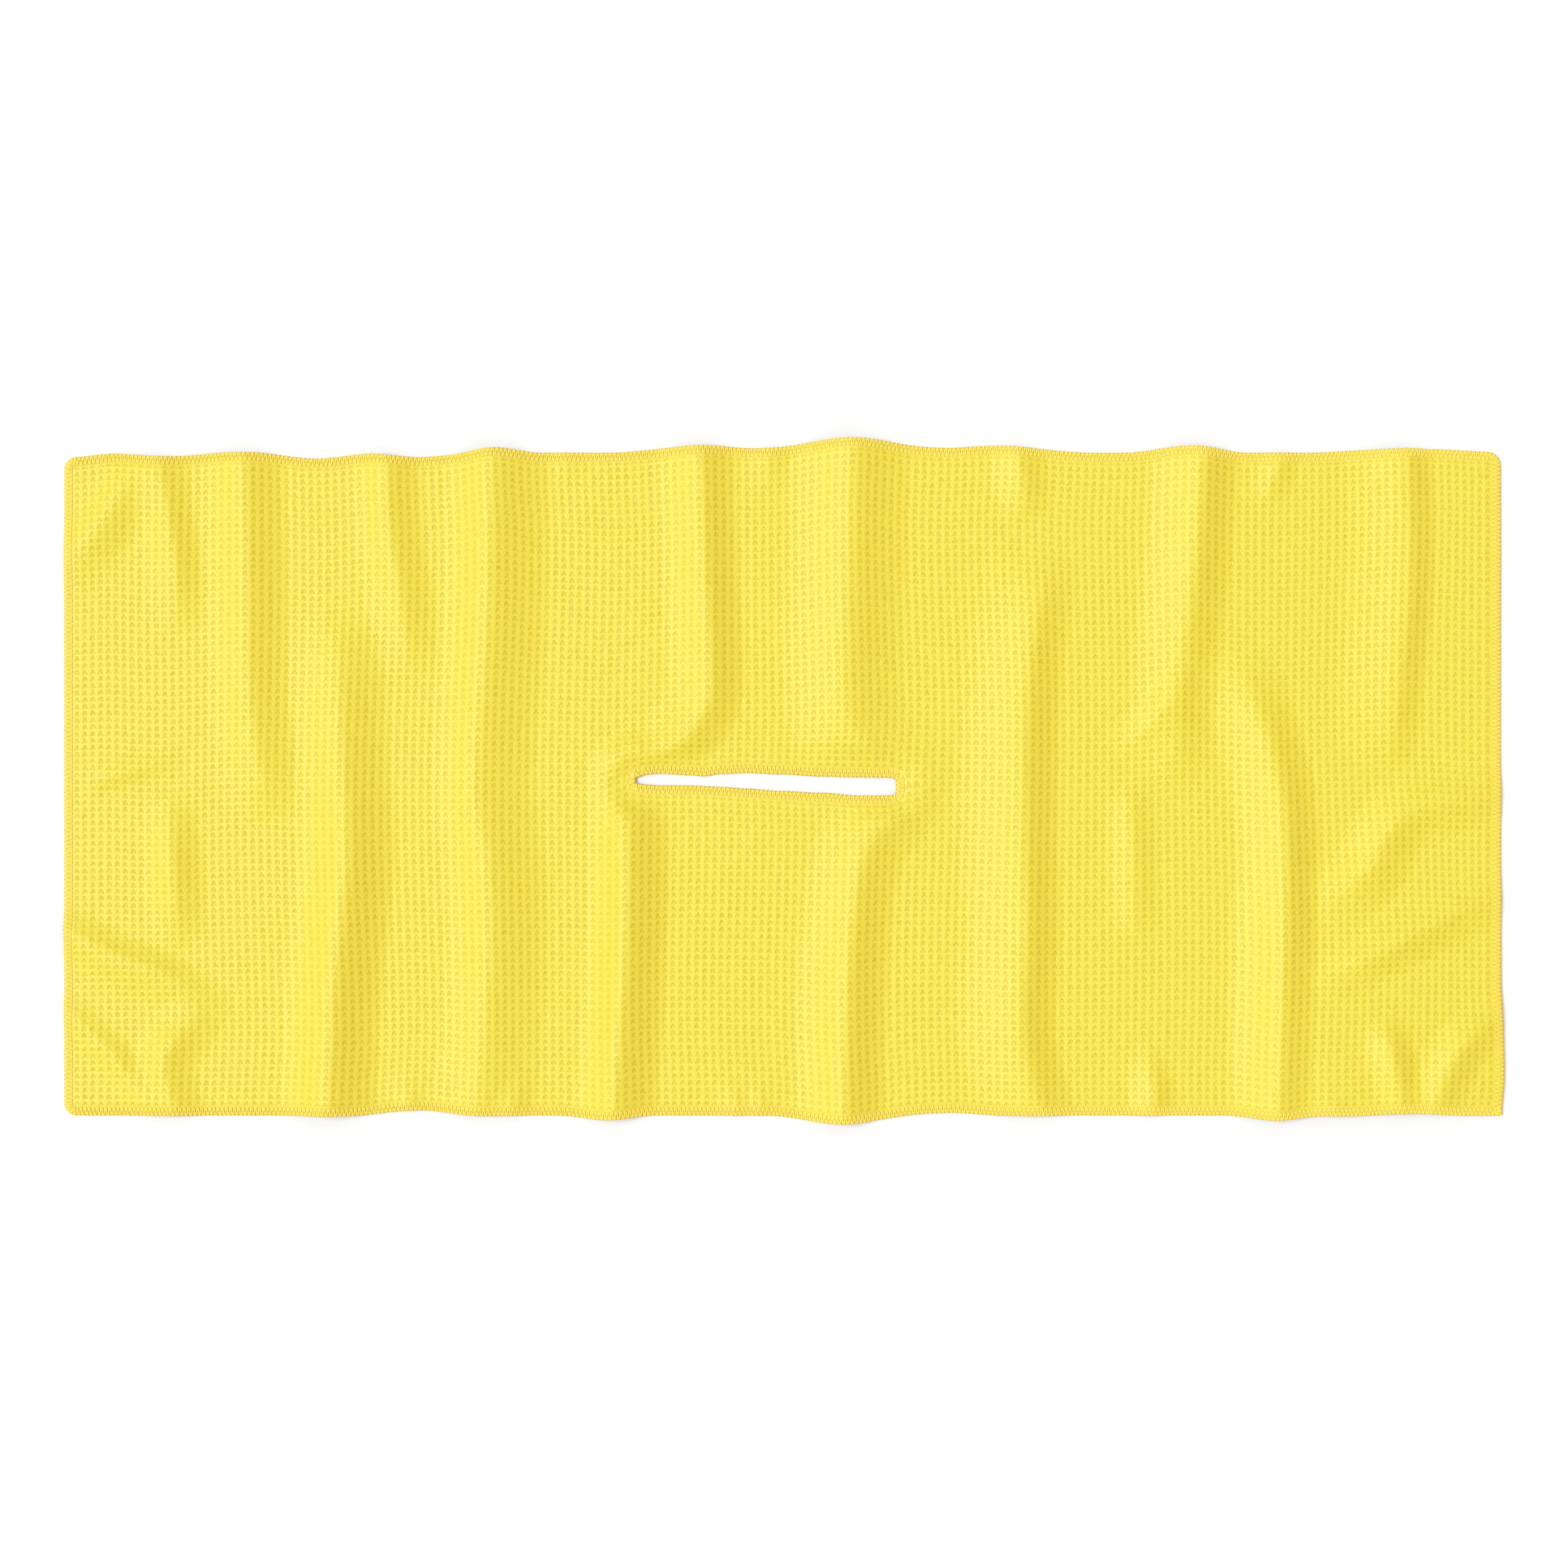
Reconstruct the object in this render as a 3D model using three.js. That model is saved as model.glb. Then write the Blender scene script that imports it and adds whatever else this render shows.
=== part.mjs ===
// A waffle-weave microfibre golf towel, laid out flat and lightly rumpled, with a long slit in its
// middle. The slit lets the towel hang on a club head, like a poncho. The towel is one sheet of cloth.
// Its four sides and the slit are each bound with a three-thread overlock seam, and the three threads
// of each seam are separate pieces: the needle thread, the upper looper thread and the lower looper.
//
// Units are millimetres. +X runs along the towel, +Y across it and +Z up. The origin is on the surface
// that the towel lies on, under the middle of its box.

import * as THREE from 'three';

// ---------------------------------------------------------------- driving dimensions
const LENGTH = 1003; // rim to rim along X, as laid, ripples and all
const WIDTH = 464.5; // rim to rim along Y
const CLOTH_THICKNESS = 2.6; // one layer of waffle weave, uncompressed
const SEAM_CLOTH_THICKNESS = 0.8; // the same cloth, squeezed flat under the overlock stitches
const THREAD_THICKNESS = 0.5; // fluffy textured looper yarn, lying flat
const SEAM_WIDTH = 5.4; // cut edge to the far side of the needle line
const NEEDLE_THREAD_WIDTH = 0.8;
const CLEARANCE = 0.35; // between two pieces that touch in the real towel

const SLIT_LENGTH = 181; // clear opening, end to end
const SLIT_CENTRE_X = -12.7; // the slit sits a little left of the middle
const SLIT_OPEN_WIDTH = 11.4; // the widest part of the clear opening, near its right end

const CORNER_PULL = 2.2; // how far three of the corners are rounded in, along X and along Y

// ---------------------------------------------------------------- sizes worked out from those
const HALF_LENGTH = LENGTH / 2;
const HALF_WIDTH = WIDTH / 2;
const MID_HEIGHT = CLOTH_THICKNESS / 2; // middle of the cloth where it lies flat
const RIM = CLEARANCE + THREAD_THICKNESS; // how far the threads stand out past the cut edge
const BAND = SEAM_WIDTH + 0.1; // the mesh line just inside the needle thread
const SEAM_SURFACE = SEAM_CLOTH_THICKNESS / 2; // cloth surface above its own middle, in the seam
const THREAD_INNER = SEAM_SURFACE + CLEARANCE; // inner face of a looper thread
const THREAD_OUTER = THREAD_INNER + THREAD_THICKNESS; // outer face of a looper thread
const NEEDLE_OUT = SEAM_WIDTH - NEEDLE_THREAD_WIDTH; // side of the needle thread nearer the edge
const LOOPER_IN = NEEDLE_OUT - CLEARANCE; // side of the looper thread nearer the needle
const SLIT_LEFT = SLIT_CENTRE_X - SLIT_LENGTH / 2 - RIM; // ends of the slit's cut, outside its threads
const SLIT_RIGHT = SLIT_CENTRE_X + SLIT_LENGTH / 2 + RIM;

const COLUMN_STEP = 12; // mesh spacing along X
const ROWS_PER_HALF = 8; // mesh rows between the seam and the slit, each way

// ---------------------------------------------------------------- rumples
// Each ridge is a soft fold. Its crest runs through the points of `crest`: per cent of the half length,
// per cent of the half width, and the height there in mm. `left` and `right` are the widths of its two
// flanks in mm, seen from the first point of the crest with +X to the right on the way down.
const RIDGES = [
  // from the left end of the towel to its right end
  { crest: [[-87, 100, 6], [-85.2, 76, 7], [-84.4, 64, 6], [-84.2, 43, 0]], left: 24, right: 20 },
  { crest: [[-75, 104, 10], [-74.5, 65, 10], [-74.2, 28, 9], [-72.8, 4, 6], [-71.2, -11, 0]], left: 30, right: 28 },
  { crest: [[-85.4, -2, 0], [-85, -20, 7], [-84.6, -34, 6], [-84.2, -50, 0]], left: 20, right: 22 },
  { crest: [[-62, 52, 0], [-61.8, 34, 8], [-61.2, 4, 12], [-60.6, -21, 14],
      [-61.6, -45, 15], [-62.6, -69, 15], [-63.4, -104, 15]],
    left: 36, right: 34 },
  { crest: [[-55.2, 104, 9], [-54.8, 77, 9], [-53, 53, 7], [-52, 30, 0]], left: 26, right: 26 },
  { crest: [[-40.6, 104, 15], [-40.9, 65, 15], [-41.4, 40, 14], [-42.6, 4, 11], [-42.3, -9, 11],
      [-41.2, -23, 12], [-40.7, -45, 12], [-41.3, -69, 10], [-42.8, -104, 7]],
    left: 32, right: 36 },
  { crest: [[-11.7, 104, 11], [-11, 65, 12], [-10.3, 38, 11],
      [-10.6, 24, 10], [-14.4, 12, 8], [-20, 5, 5]],
    left: 32, right: 26 },
  { crest: [[-22, 4, 8], [-21.8, -21, 14], [-22, -45, 15],
      [-22.6, -69, 15], [-23.8, -104, 14]],
    left: 28, right: 32 },
  { crest: [[9.6, 104, 15], [9, 65, 14], [8.5, 28, 12], [10.5, 13, 9], [15.6, 3, 5]], left: 36, right: 36 },
  { crest: [[16.2, -6, 5], [11.2, -21, 10], [9.3, -45, 13], [8.6, -69, 14], [8.3, -104, 14]], left: 30, right: 30 },
  { crest: [[37.6, 70, 0], [34.9, 50, 8], [33.5, 21, 11], [33.2, -9, 12],
      [33.5, -45, 12], [33, -77, 11], [36.3, -104, 8]],
    left: 44, right: 26 },
  { crest: [[58.2, 104, 13], [56.9, 65, 12], [55.5, 40, 9], [54.6, 16, 6], [54.4, -2, 0]], left: 36, right: 26 },
  { crest: [[62.5, 40, 0], [66.3, 18, 8], [68.8, -3, 11],
      [69.5, -23, 13], [69.1, -45, 13], [68.2, -104, 12]],
    left: 30, right: 26 },
  { crest: [[86.2, 104, 9], [86.7, 65, 8], [85.7, 40, 8], [84.6, 16, 5], [84, 2, 0]], left: 38, right: 22 },
  { crest: [[70, -26, 0], [73, -50, 4], [75, -80, 6], [76, -104, 6]], left: 50, right: 150 },
  // the larger of the slanting creases near the corners
  { crest: [[-89, 98, 0], [-92, 87, 5], [-96, 74, 5], [-100, 65, 2]], left: 18, right: 22 },
  { crest: [[-100, -44, 4], [-93, -52, 5], [-86, -58, 5], [-77, -70, 0]], left: 24, right: 14 },
  { crest: [[-80, -68, 0], [-84.5, -77, 6], [-86, -86, 6], [-84, -104, 6]], left: 20, right: 18 },
  { crest: [[32.2, 104, 5], [33, 90, 5], [33.8, 78, 0]], left: 18, right: 16 },
  { crest: [[100, -3, 1.5], [94, -5, 5], [87, -8, 6.5],
      [83.5, -16, 7], [80.5, -27, 6], [73.5, -38, 0]],
    left: 22, right: 22 },
  { crest: [[100, -34, 1.5], [92, -40, 5], [83, -50, 5.5], [73, -61, 0]], left: 20, right: 18 },
  { crest: [[99, -69, 1.5], [94, -79, 6], [91, -92, 5], [90, -104, 3]], left: 18, right: 16 },
  { crest: [[83, -70, 0], [84, -80, 5], [85.2, -92, 5], [86, -104, 3]], left: 16, right: 14 },
];
const CREST_ROUNDING = 4; // mm, softens the top of each ridge
const FLANK_CURVE = 1.6; // 1 would be a straight flank; more lets it ease out into the flat cloth
const CREST_POINTS = 24; // points along each smoothed crest
const SLIT_HOLD = 0.25; // the share of its height that a ridge keeps right beside the slit
const HOLD_NEAR = 7; // mm from the slit's line over which it keeps only that
const HOLD_REACH = 22; // mm more until it has its full height

// Where a ridge or a slack place meets one of the long sides, that side swings out or in.
// `at` is per cent of the half length, `out` is mm, `reach` is mm either way.
const TOP_SLACK = 1.7; // mm, the upper side is laid this much short of its place between swings
const TOP_SWINGS = [
  { at: -86, out: -2, reach: 45 },
  { at: -65, out: -3.6, reach: 45 },
  { at: -51, out: -3, reach: 45 },
  { at: -40, out: 3, reach: 30 },
  { at: -11, out: 4.8, reach: 70 },
  { at: 9.3, out: 10.5, reach: 80 },
  { at: 29, out: 4.8, reach: 70 },
  { at: 56, out: 4.5, reach: 45 },
  { at: 87, out: 2.8, reach: 80 },
];
const BOTTOM_SWINGS = [
  { at: -51, out: -3.6, reach: 45 },
  { at: -25, out: 2.6, reach: 35 },
  { at: 8, out: 5.5, reach: 55 },
  { at: 23, out: -1.8, reach: 40 },
  { at: 68, out: 2.8, reach: 35 },
  { at: 87, out: -1.8, reach: 45 },
];

// The lips of the clear opening: per cent of the slit's length from its left end, then the upper and
// the lower lip as per cent of the widest opening.
const SLIT_LIPS = [
  [0, 24, -2], [4, 45, -12], [9, 51, -17], [21, 42, -18], [26, 35, -22], [33, 49, -27], [42, 56, -37],
  [56, 47, -52], [71, 34, -63], [86, 29, -80], [94, 28, -80], [100, 22, -70],
];

// ---------------------------------------------------------------- materials
function clothMaterial() {
  return new THREE.MeshStandardMaterial({ color: 0xf6e55c, roughness: 0.95, metalness: 0 });
}

function threadMaterial(color) {
  return new THREE.MeshStandardMaterial({ color, roughness: 0.8, metalness: 0 });
}
const NEEDLE_COLOR = 0xf2dc6a;
const UPPER_LOOPER_COLOR = 0xecc94e;
const LOWER_LOOPER_COLOR = 0xe0b93f;

// ---------------------------------------------------------------- the laid shape
function smoothStep(t) {
  const c = Math.min(1, Math.max(0, t));
  return c * c * (3 - 2 * c);
}

// A bell of height 1 that is exactly 0 past `reach`.
function bell(distance, reach) {
  return smoothStep(1 - Math.abs(distance) / reach);
}

// Each crest as a smooth chain of points in mm; x and y in the plan, z the height of the ridge.
const CRESTS = RIDGES.map(({ crest, left, right }) => {
  const knots = crest.map(([u, v, h]) => new THREE.Vector3((u / 100) * HALF_LENGTH, (v / 100) * HALF_WIDTH, h));
  const line = new THREE.CatmullRomCurve3(knots, false, 'centripetal');
  return { points: line.getPoints(CREST_POINTS), left, right };
});

// The signed distance from (x, y) to a crest, and the height of the crest at its nearest point.
function nearestOnCrest(points, x, y) {
  let best = { distance: Infinity, side: 1, height: 0 };
  for (let k = 0; k + 1 < points.length; k += 1) {
    const a = points[k];
    const b = points[k + 1];
    const dx = b.x - a.x;
    const dy = b.y - a.y;
    const along = ((x - a.x) * dx + (y - a.y) * dy) / (dx * dx + dy * dy);
    const t = Math.min(1, Math.max(0, along));
    const distance = Math.hypot(x - a.x - t * dx, y - a.y - t * dy);
    if (distance < best.distance) {
      const side = dx * (y - a.y) - dy * (x - a.x) > 0 ? 1 : -1;
      best = { distance, side, height: Math.max(0, a.z + t * (b.z - a.z)) };
    }
  }
  return best;
}

// The share of its height that a ridge keeps at (x, y): less beside the slit, whose stitches lie flat.
function freeOfSlit(x, y) {
  const pastEnd = Math.max(SLIT_LEFT - x, x - SLIT_RIGHT, 0);
  return SLIT_HOLD + (1 - SLIT_HOLD) * smoothStep((Math.hypot(pastEnd, y) - HOLD_NEAR) / HOLD_REACH);
}

// How far the cloth's underside is lifted at (x, y). It is exactly 0 away from the ridges.
function lift(x, y) {
  let sum = 0;
  for (const { points, left, right } of CRESTS) {
    const { distance, side, height } = nearestOnCrest(points, x, y);
    const reach = side > 0 ? right : left;
    const softened = Math.hypot(distance, CREST_ROUNDING) - CREST_ROUNDING;
    sum += height * Math.max(0, 1 - softened / reach) ** FLANK_CURVE;
  }
  return sum * freeOfSlit(x, y);
}

function swing(list, x) {
  return list.reduce((sum, s) => sum + s.out * bell(x - (s.at / 100) * HALF_LENGTH, s.reach), 0);
}

// The cut edges of the two long sides.
function topEdge(x) {
  return HALF_WIDTH - RIM - TOP_SLACK + swing(TOP_SWINGS, x);
}

function bottomEdge(x) {
  return -(HALF_WIDTH - RIM + swing(BOTTOM_SWINGS, x));
}

// ---------------------------------------------------------------- the slit
const REST_LIP = 5; // half spacing of the two lip lines far from the slit
const REST_BAND = 12; // spacing of the lines beside them, far from the slit
const SLIT_BLEND = 60; // mm over which the mesh lines open out past the slit's ends

function lip(x, which) {
  const percent = Math.min(100, Math.max(0, ((x - SLIT_LEFT) / (SLIT_RIGHT - SLIT_LEFT)) * 100));
  let k = 0;
  while (k + 2 < SLIT_LIPS.length && SLIT_LIPS[k + 1][0] < percent) k += 1;
  const a = SLIT_LIPS[k];
  const b = SLIT_LIPS[k + 1];
  const t = smoothStep((percent - a[0]) / (b[0] - a[0]));
  const clear = ((a[which] + t * (b[which] - a[which])) / 100) * SLIT_OPEN_WIDTH;
  return clear + (which === 1 ? RIM : -RIM);
}

function pastSlit(x) {
  return smoothStep(Math.max(SLIT_LEFT - BAND - x, x - SLIT_RIGHT - BAND) / SLIT_BLEND);
}

// The four mesh lines that run along the slit, from the lowest to the highest.
function slitRows(x) {
  const far = pastSlit(x);
  const low = lip(x, 2) * (1 - far) - REST_LIP * far;
  const high = lip(x, 1) * (1 - far) + REST_LIP * far;
  const spacing = BAND * (1 - far) + REST_BAND * far;
  return [low - spacing, low, high, high + spacing];
}

// ---------------------------------------------------------------- the mesh of the sheet's middle
function spread(from, to, step) {
  const count = Math.max(1, Math.round((to - from) / step));
  return Array.from({ length: count + 1 }, (_, k) => from + ((to - from) * k) / count);
}

const END = HALF_LENGTH - RIM; // the cut ends of the cloth
const leftColumns = spread(-END + BAND, SLIT_LEFT - BAND, COLUMN_STEP);
const slitColumns = spread(SLIT_LEFT, SLIT_RIGHT, COLUMN_STEP);
const rightColumns = spread(SLIT_RIGHT + BAND, END - BAND, COLUMN_STEP);
const COLUMNS = [-END, ...leftColumns, ...slitColumns, ...rightColumns, END];
const SLIT_FIRST = 1 + leftColumns.length; // first and last mesh column of the cut
const SLIT_LAST = SLIT_FIRST + slitColumns.length - 1;
const SLIT_ROW = 1 + ROWS_PER_HALF + 1; // mesh row of the lower lip; the upper lip is the next

function rowsAt(x) {
  const bottom = bottomEdge(x);
  const top = topEdge(x);
  const slit = slitRows(x);
  const lowSpan = slit[0] - (bottom + BAND);
  const highSpan = top - BAND - slit[3];
  const rows = [bottom];
  for (let k = 0; k < ROWS_PER_HALF; k += 1) rows.push(bottom + BAND + (lowSpan * k) / ROWS_PER_HALF);
  rows.push(...slit);
  for (let k = 1; k <= ROWS_PER_HALF; k += 1) rows.push(slit[3] + (highSpan * k) / ROWS_PER_HALF);
  rows.push(top);
  return rows;
}

const LAST_COLUMN = COLUMNS.length - 1;
const ROW_COUNT = rowsAt(0).length;
const LAST_ROW = ROW_COUNT - 1;

// The middle of the sheet at every crossing of a column and a row.
const MIDDLE = COLUMNS.map((x) => rowsAt(x).map((y) => new THREE.Vector3(x, y, MID_HEIGHT + lift(x, y))));

// Three corners are rounded by their bindings. The fourth, where the seam starts and ends, is square.
for (const [i, j] of [[0, 0], [0, LAST_ROW], [LAST_COLUMN, LAST_ROW]]) {
  MIDDLE[i][j].x -= Math.sign(MIDDLE[i][j].x) * CORNER_PULL;
  MIDDLE[i][j].y -= Math.sign(MIDDLE[i][j].y) * CORNER_PULL;
}

// ---------------------------------------------------------------- the two seams
// A seam is a closed run of stations: a crossing on the cut edge, and the crossing just inside the
// needle thread. The outer run goes anticlockwise and the slit's clockwise, so that inward into the
// cloth is to the left of both.
function outerRun() {
  const run = [];
  const [C, R] = [LAST_COLUMN, LAST_ROW];
  run.push({ edge: [0, 0], inner: [1, 1] });
  for (let i = 1; i < C; i += 1) run.push({ edge: [i, 0], inner: [i, 1] });
  run.push({ edge: [C, 0], inner: [C - 1, 1] });
  for (let j = 1; j < R; j += 1) run.push({ edge: [C, j], inner: [C - 1, j] });
  run.push({ edge: [C, R], inner: [C - 1, R - 1] });
  for (let i = C - 1; i > 0; i -= 1) run.push({ edge: [i, R], inner: [i, R - 1] });
  run.push({ edge: [0, R], inner: [1, R - 1] });
  for (let j = R - 1; j > 0; j -= 1) run.push({ edge: [0, j], inner: [1, j] });
  return run;
}

function slitRun() {
  const run = [];
  const [A, B, L, U] = [SLIT_FIRST, SLIT_LAST, SLIT_ROW, SLIT_ROW + 1];
  for (let i = A; i <= B; i += 1) run.push({ edge: [i, U], inner: [i, U + 1] });
  for (let i = B; i >= A; i -= 1) run.push({ edge: [i, L], inner: [i, L - 1] });
  for (const { edge, inner } of run) {
    if (edge[0] === A) inner[0] = A - 1;
    if (edge[0] === B) inner[0] = B + 1;
  }
  return run;
}

const OUTER_RUN = outerRun();
const SLIT_RUN = slitRun();

// The slit's stitches keep its lips level as far in as the needle line.
for (const { edge, inner } of SLIT_RUN) {
  MIDDLE[inner[0]][inner[1]].z = MIDDLE[edge[0]][edge[1]].z;
}

// The stitches keep the cloth straight across each end of the slit, and past each of its corners.
function layStraight(from, to, between) {
  const [p, q] = [MIDDLE[from[0]][from[1]], MIDDLE[to[0]][to[1]]];
  for (const [i, j] of between) {
    const along = new THREE.Vector2(q.x - p.x, q.y - p.y);
    const here = new THREE.Vector2(MIDDLE[i][j].x - p.x, MIDDLE[i][j].y - p.y);
    MIDDLE[i][j].z = p.z + ((q.z - p.z) * here.dot(along)) / along.lengthSq();
  }
}
for (const [end, past, back] of [[SLIT_FIRST, -1, 1], [SLIT_LAST, 1, -1]]) {
  const [below, above] = [SLIT_ROW - 1, SLIT_ROW + 2];
  layStraight([end + past, below], [end + past, above], [[end + past, SLIT_ROW], [end + past, SLIT_ROW + 1]]);
  layStraight([end + past, below], [end + back, below], [[end, below]]);
  layStraight([end + past, above], [end + back, above], [[end, above]]);
}

function inSlit(i, j) {
  return i >= SLIT_FIRST && i < SLIT_LAST && j === SLIT_ROW;
}

// The direction square to the sheet at each crossing, from its neighbours.
function squareTo(i, j) {
  const alongX = new THREE.Vector3().subVectors(
    MIDDLE[Math.min(LAST_COLUMN, i + 1)][j],
    MIDDLE[Math.max(0, i - 1)][j],
  );
  const acrossSlit = i > SLIT_FIRST && i < SLIT_LAST;
  const up = acrossSlit && j === SLIT_ROW ? j : Math.min(LAST_ROW, j + 1);
  const down = acrossSlit && j === SLIT_ROW + 1 ? j : Math.max(0, j - 1);
  const alongY = new THREE.Vector3().subVectors(MIDDLE[i][up], MIDDLE[i][down]);
  return alongX.cross(alongY).normalize();
}
const SQUARE = MIDDLE.map((column, i) => column.map((_, j) => squareTo(i, j)));

// Under the stitches the cloth is squeezed; everywhere else it has its full thickness.
function halfThickness(i, j) {
  const outer = i <= 1 || j <= 1 || i >= LAST_COLUMN - 1 || j >= LAST_ROW - 1;
  const bySlit = i >= SLIT_FIRST - 1 && i <= SLIT_LAST + 1 && j >= SLIT_ROW - 1 && j <= SLIT_ROW + 2;
  return (outer || bySlit ? SEAM_CLOTH_THICKNESS : CLOTH_THICKNESS) / 2;
}

// The stitches hold the cloth straight from the cut edge to the needle line.
for (const { edge, inner } of [...OUTER_RUN, ...SLIT_RUN]) {
  SQUARE[inner[0]][inner[1]] = SQUARE[edge[0]][edge[1]];
}
for (const [end, past] of [[SLIT_FIRST, SLIT_FIRST - 1], [SLIT_LAST, SLIT_LAST + 1]]) {
  for (const [lipRow, bandRow] of [[SLIT_ROW, SLIT_ROW - 1], [SLIT_ROW + 1, SLIT_ROW + 2]]) {
    SQUARE[past][lipRow] = SQUARE[end][lipRow];
    SQUARE[end][bandRow] = SQUARE[end][lipRow];
  }
}

// ---------------------------------------------------------------- building closed bodies
function bodyFrom(positions, faces, name, material) {
  const geometry = new THREE.BufferGeometry();
  geometry.setAttribute('position', new THREE.Float32BufferAttribute(positions.flatMap((p) => [p.x, p.y, p.z]), 3));
  geometry.setIndex(faces.flat());
  geometry.computeVertexNormals();
  const mesh = new THREE.Mesh(geometry, material);
  mesh.name = name;
  return mesh;
}

// Which way a cell of the mesh is split in two. In the seams the split runs inward from the cut edge
// to the next station, and from each corner straight into the cloth.
function fallsToRight(i, j) {
  const [C, R] = [LAST_COLUMN - 1, LAST_ROW - 1];
  const side = (i === 0 || i === C) && j > 0 && j < R;
  const corner = (i === C && j === 0) || (i === 0 && j === R);
  const slitCorner =
    (i === SLIT_FIRST - 1 && j === SLIT_ROW + 1) || (i === SLIT_LAST && j === SLIT_ROW - 1);
  return side || corner || slitCorner;
}

// The cloth: a top skin, a bottom skin and a wall along every open side of the mesh.
function makeCloth() {
  const top = MIDDLE.flatMap((column, i) =>
    column.map((p, j) => p.clone().addScaledVector(SQUARE[i][j], halfThickness(i, j))));
  const bottom = MIDDLE.flatMap((column, i) =>
    column.map((p, j) => p.clone().addScaledVector(SQUARE[i][j], -halfThickness(i, j))));
  const at = (i, j) => i * ROW_COUNT + j;
  const under = top.length;
  const solid = (i, j) => i >= 0 && j >= 0 && i < LAST_COLUMN && j < LAST_ROW && !inSlit(i, j);
  const faces = [];
  const wall = (a, b) => {
    faces.push([a, a + under, b + under], [a, b + under, b]);
  };
  for (let i = 0; i < LAST_COLUMN; i += 1) {
    for (let j = 0; j < LAST_ROW; j += 1) {
      if (!solid(i, j)) continue;
      const [a, b, c, d] = [at(i, j), at(i + 1, j), at(i + 1, j + 1), at(i, j + 1)];
      const halves = fallsToRight(i, j) ? [[a, b, d], [b, c, d]] : [[a, b, c], [a, c, d]];
      faces.push(...halves);
      faces.push(...halves.map(([p, q, r]) => [p + under, r + under, q + under]));
      if (!solid(i, j - 1)) wall(a, b);
      if (!solid(i + 1, j)) wall(b, c);
      if (!solid(i, j + 1)) wall(c, d);
      if (!solid(i - 1, j)) wall(d, a);
    }
  }
  return bodyFrom([...top, ...bottom], faces, 'waffle_cloth', clothMaterial());
}

// Sweeps a closed outline round a seam. A point of the outline is [mm inward from the cut edge, mm
// above the middle of the cloth], and the outline turns clockwise in those two directions. Each facet
// is split from its outer corner to the next inner one, as the cloth under it is.
function sweep(run, outline, name, material) {
  const positions = run.flatMap(({ edge, inner }) =>
    outline.map(([inward, above]) =>
      new THREE.Vector3()
        .lerpVectors(MIDDLE[edge[0]][edge[1]], MIDDLE[inner[0]][inner[1]], inward / BAND)
        .addScaledVector(SQUARE[edge[0]][edge[1]], above)));
  const n = outline.length;
  const faces = [];
  run.forEach((_, k) => {
    const here = k * n;
    const next = ((k + 1) % run.length) * n;
    for (let p = 0; p < n; p += 1) {
      const q = (p + 1) % n;
      if (outline[p][0] <= outline[q][0]) {
        faces.push([here + p, next + q, here + q], [here + p, next + p, next + q]);
      } else {
        faces.push([here + p, next + p, here + q], [here + q, next + p, next + q]);
      }
    }
  });
  return bodyFrom(positions, faces, name, material);
}

// The needle thread: the line of stitches along the inner side of the seam.
const NEEDLE_OUTLINE = [
  [NEEDLE_OUT, THREAD_INNER],
  [NEEDLE_OUT, THREAD_OUTER],
  [SEAM_WIDTH, THREAD_OUTER],
  [SEAM_WIDTH, THREAD_INNER],
];

// A looper thread: flat on one face of the cloth, and turned over the cut edge as far as its middle,
// where it interlocks with the other looper. `face` is +1 on top and -1 below.
function looperOutline(face) {
  const outline = [
    [-RIM, (face * CLEARANCE) / 2],
    [-RIM, face * THREAD_OUTER],
    [LOOPER_IN, face * THREAD_OUTER],
    [LOOPER_IN, face * THREAD_INNER],
    [-CLEARANCE, face * THREAD_INNER],
    [-CLEARANCE, (face * CLEARANCE) / 2],
  ];
  return face > 0 ? outline : outline.reverse();
}

function seamThreads(run, prefix) {
  return [
    sweep(run, NEEDLE_OUTLINE, `${prefix}_needle_thread`, threadMaterial(NEEDLE_COLOR)),
    sweep(run, looperOutline(1), `${prefix}_upper_looper_thread`, threadMaterial(UPPER_LOOPER_COLOR)),
    sweep(run, looperOutline(-1), `${prefix}_lower_looper_thread`, threadMaterial(LOWER_LOOPER_COLOR)),
  ];
}

// ---------------------------------------------------------------- the towel
const towel = new THREE.Group();
towel.name = 'golf_towel';
towel.add(makeCloth(), ...seamThreads(OUTER_RUN, 'edge'), ...seamThreads(SLIT_RUN, 'slit'));

// The swings of the two long sides differ, so the middle of the box is found and moved to the origin.
const box = new THREE.Box3().setFromObject(towel);
const middle = box.getCenter(new THREE.Vector3());
for (const mesh of towel.children) mesh.geometry.translate(-middle.x, -middle.y, -box.min.z);

export default towel;
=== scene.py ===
# %% [markdown]
# # A waffle-weave golf towel, laid flat
#
# The towel is one long sheet of microfibre with a slit in its middle, bound all round with a
# three-thread overlock seam. It lies on a pale floor with the soft ridges that a folded towel keeps.
# Every size is in metres. +X runs along the towel, +Y across it and +Z up, so its left end is towards -X
# and its upper side is towards +Y.

import math

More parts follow.
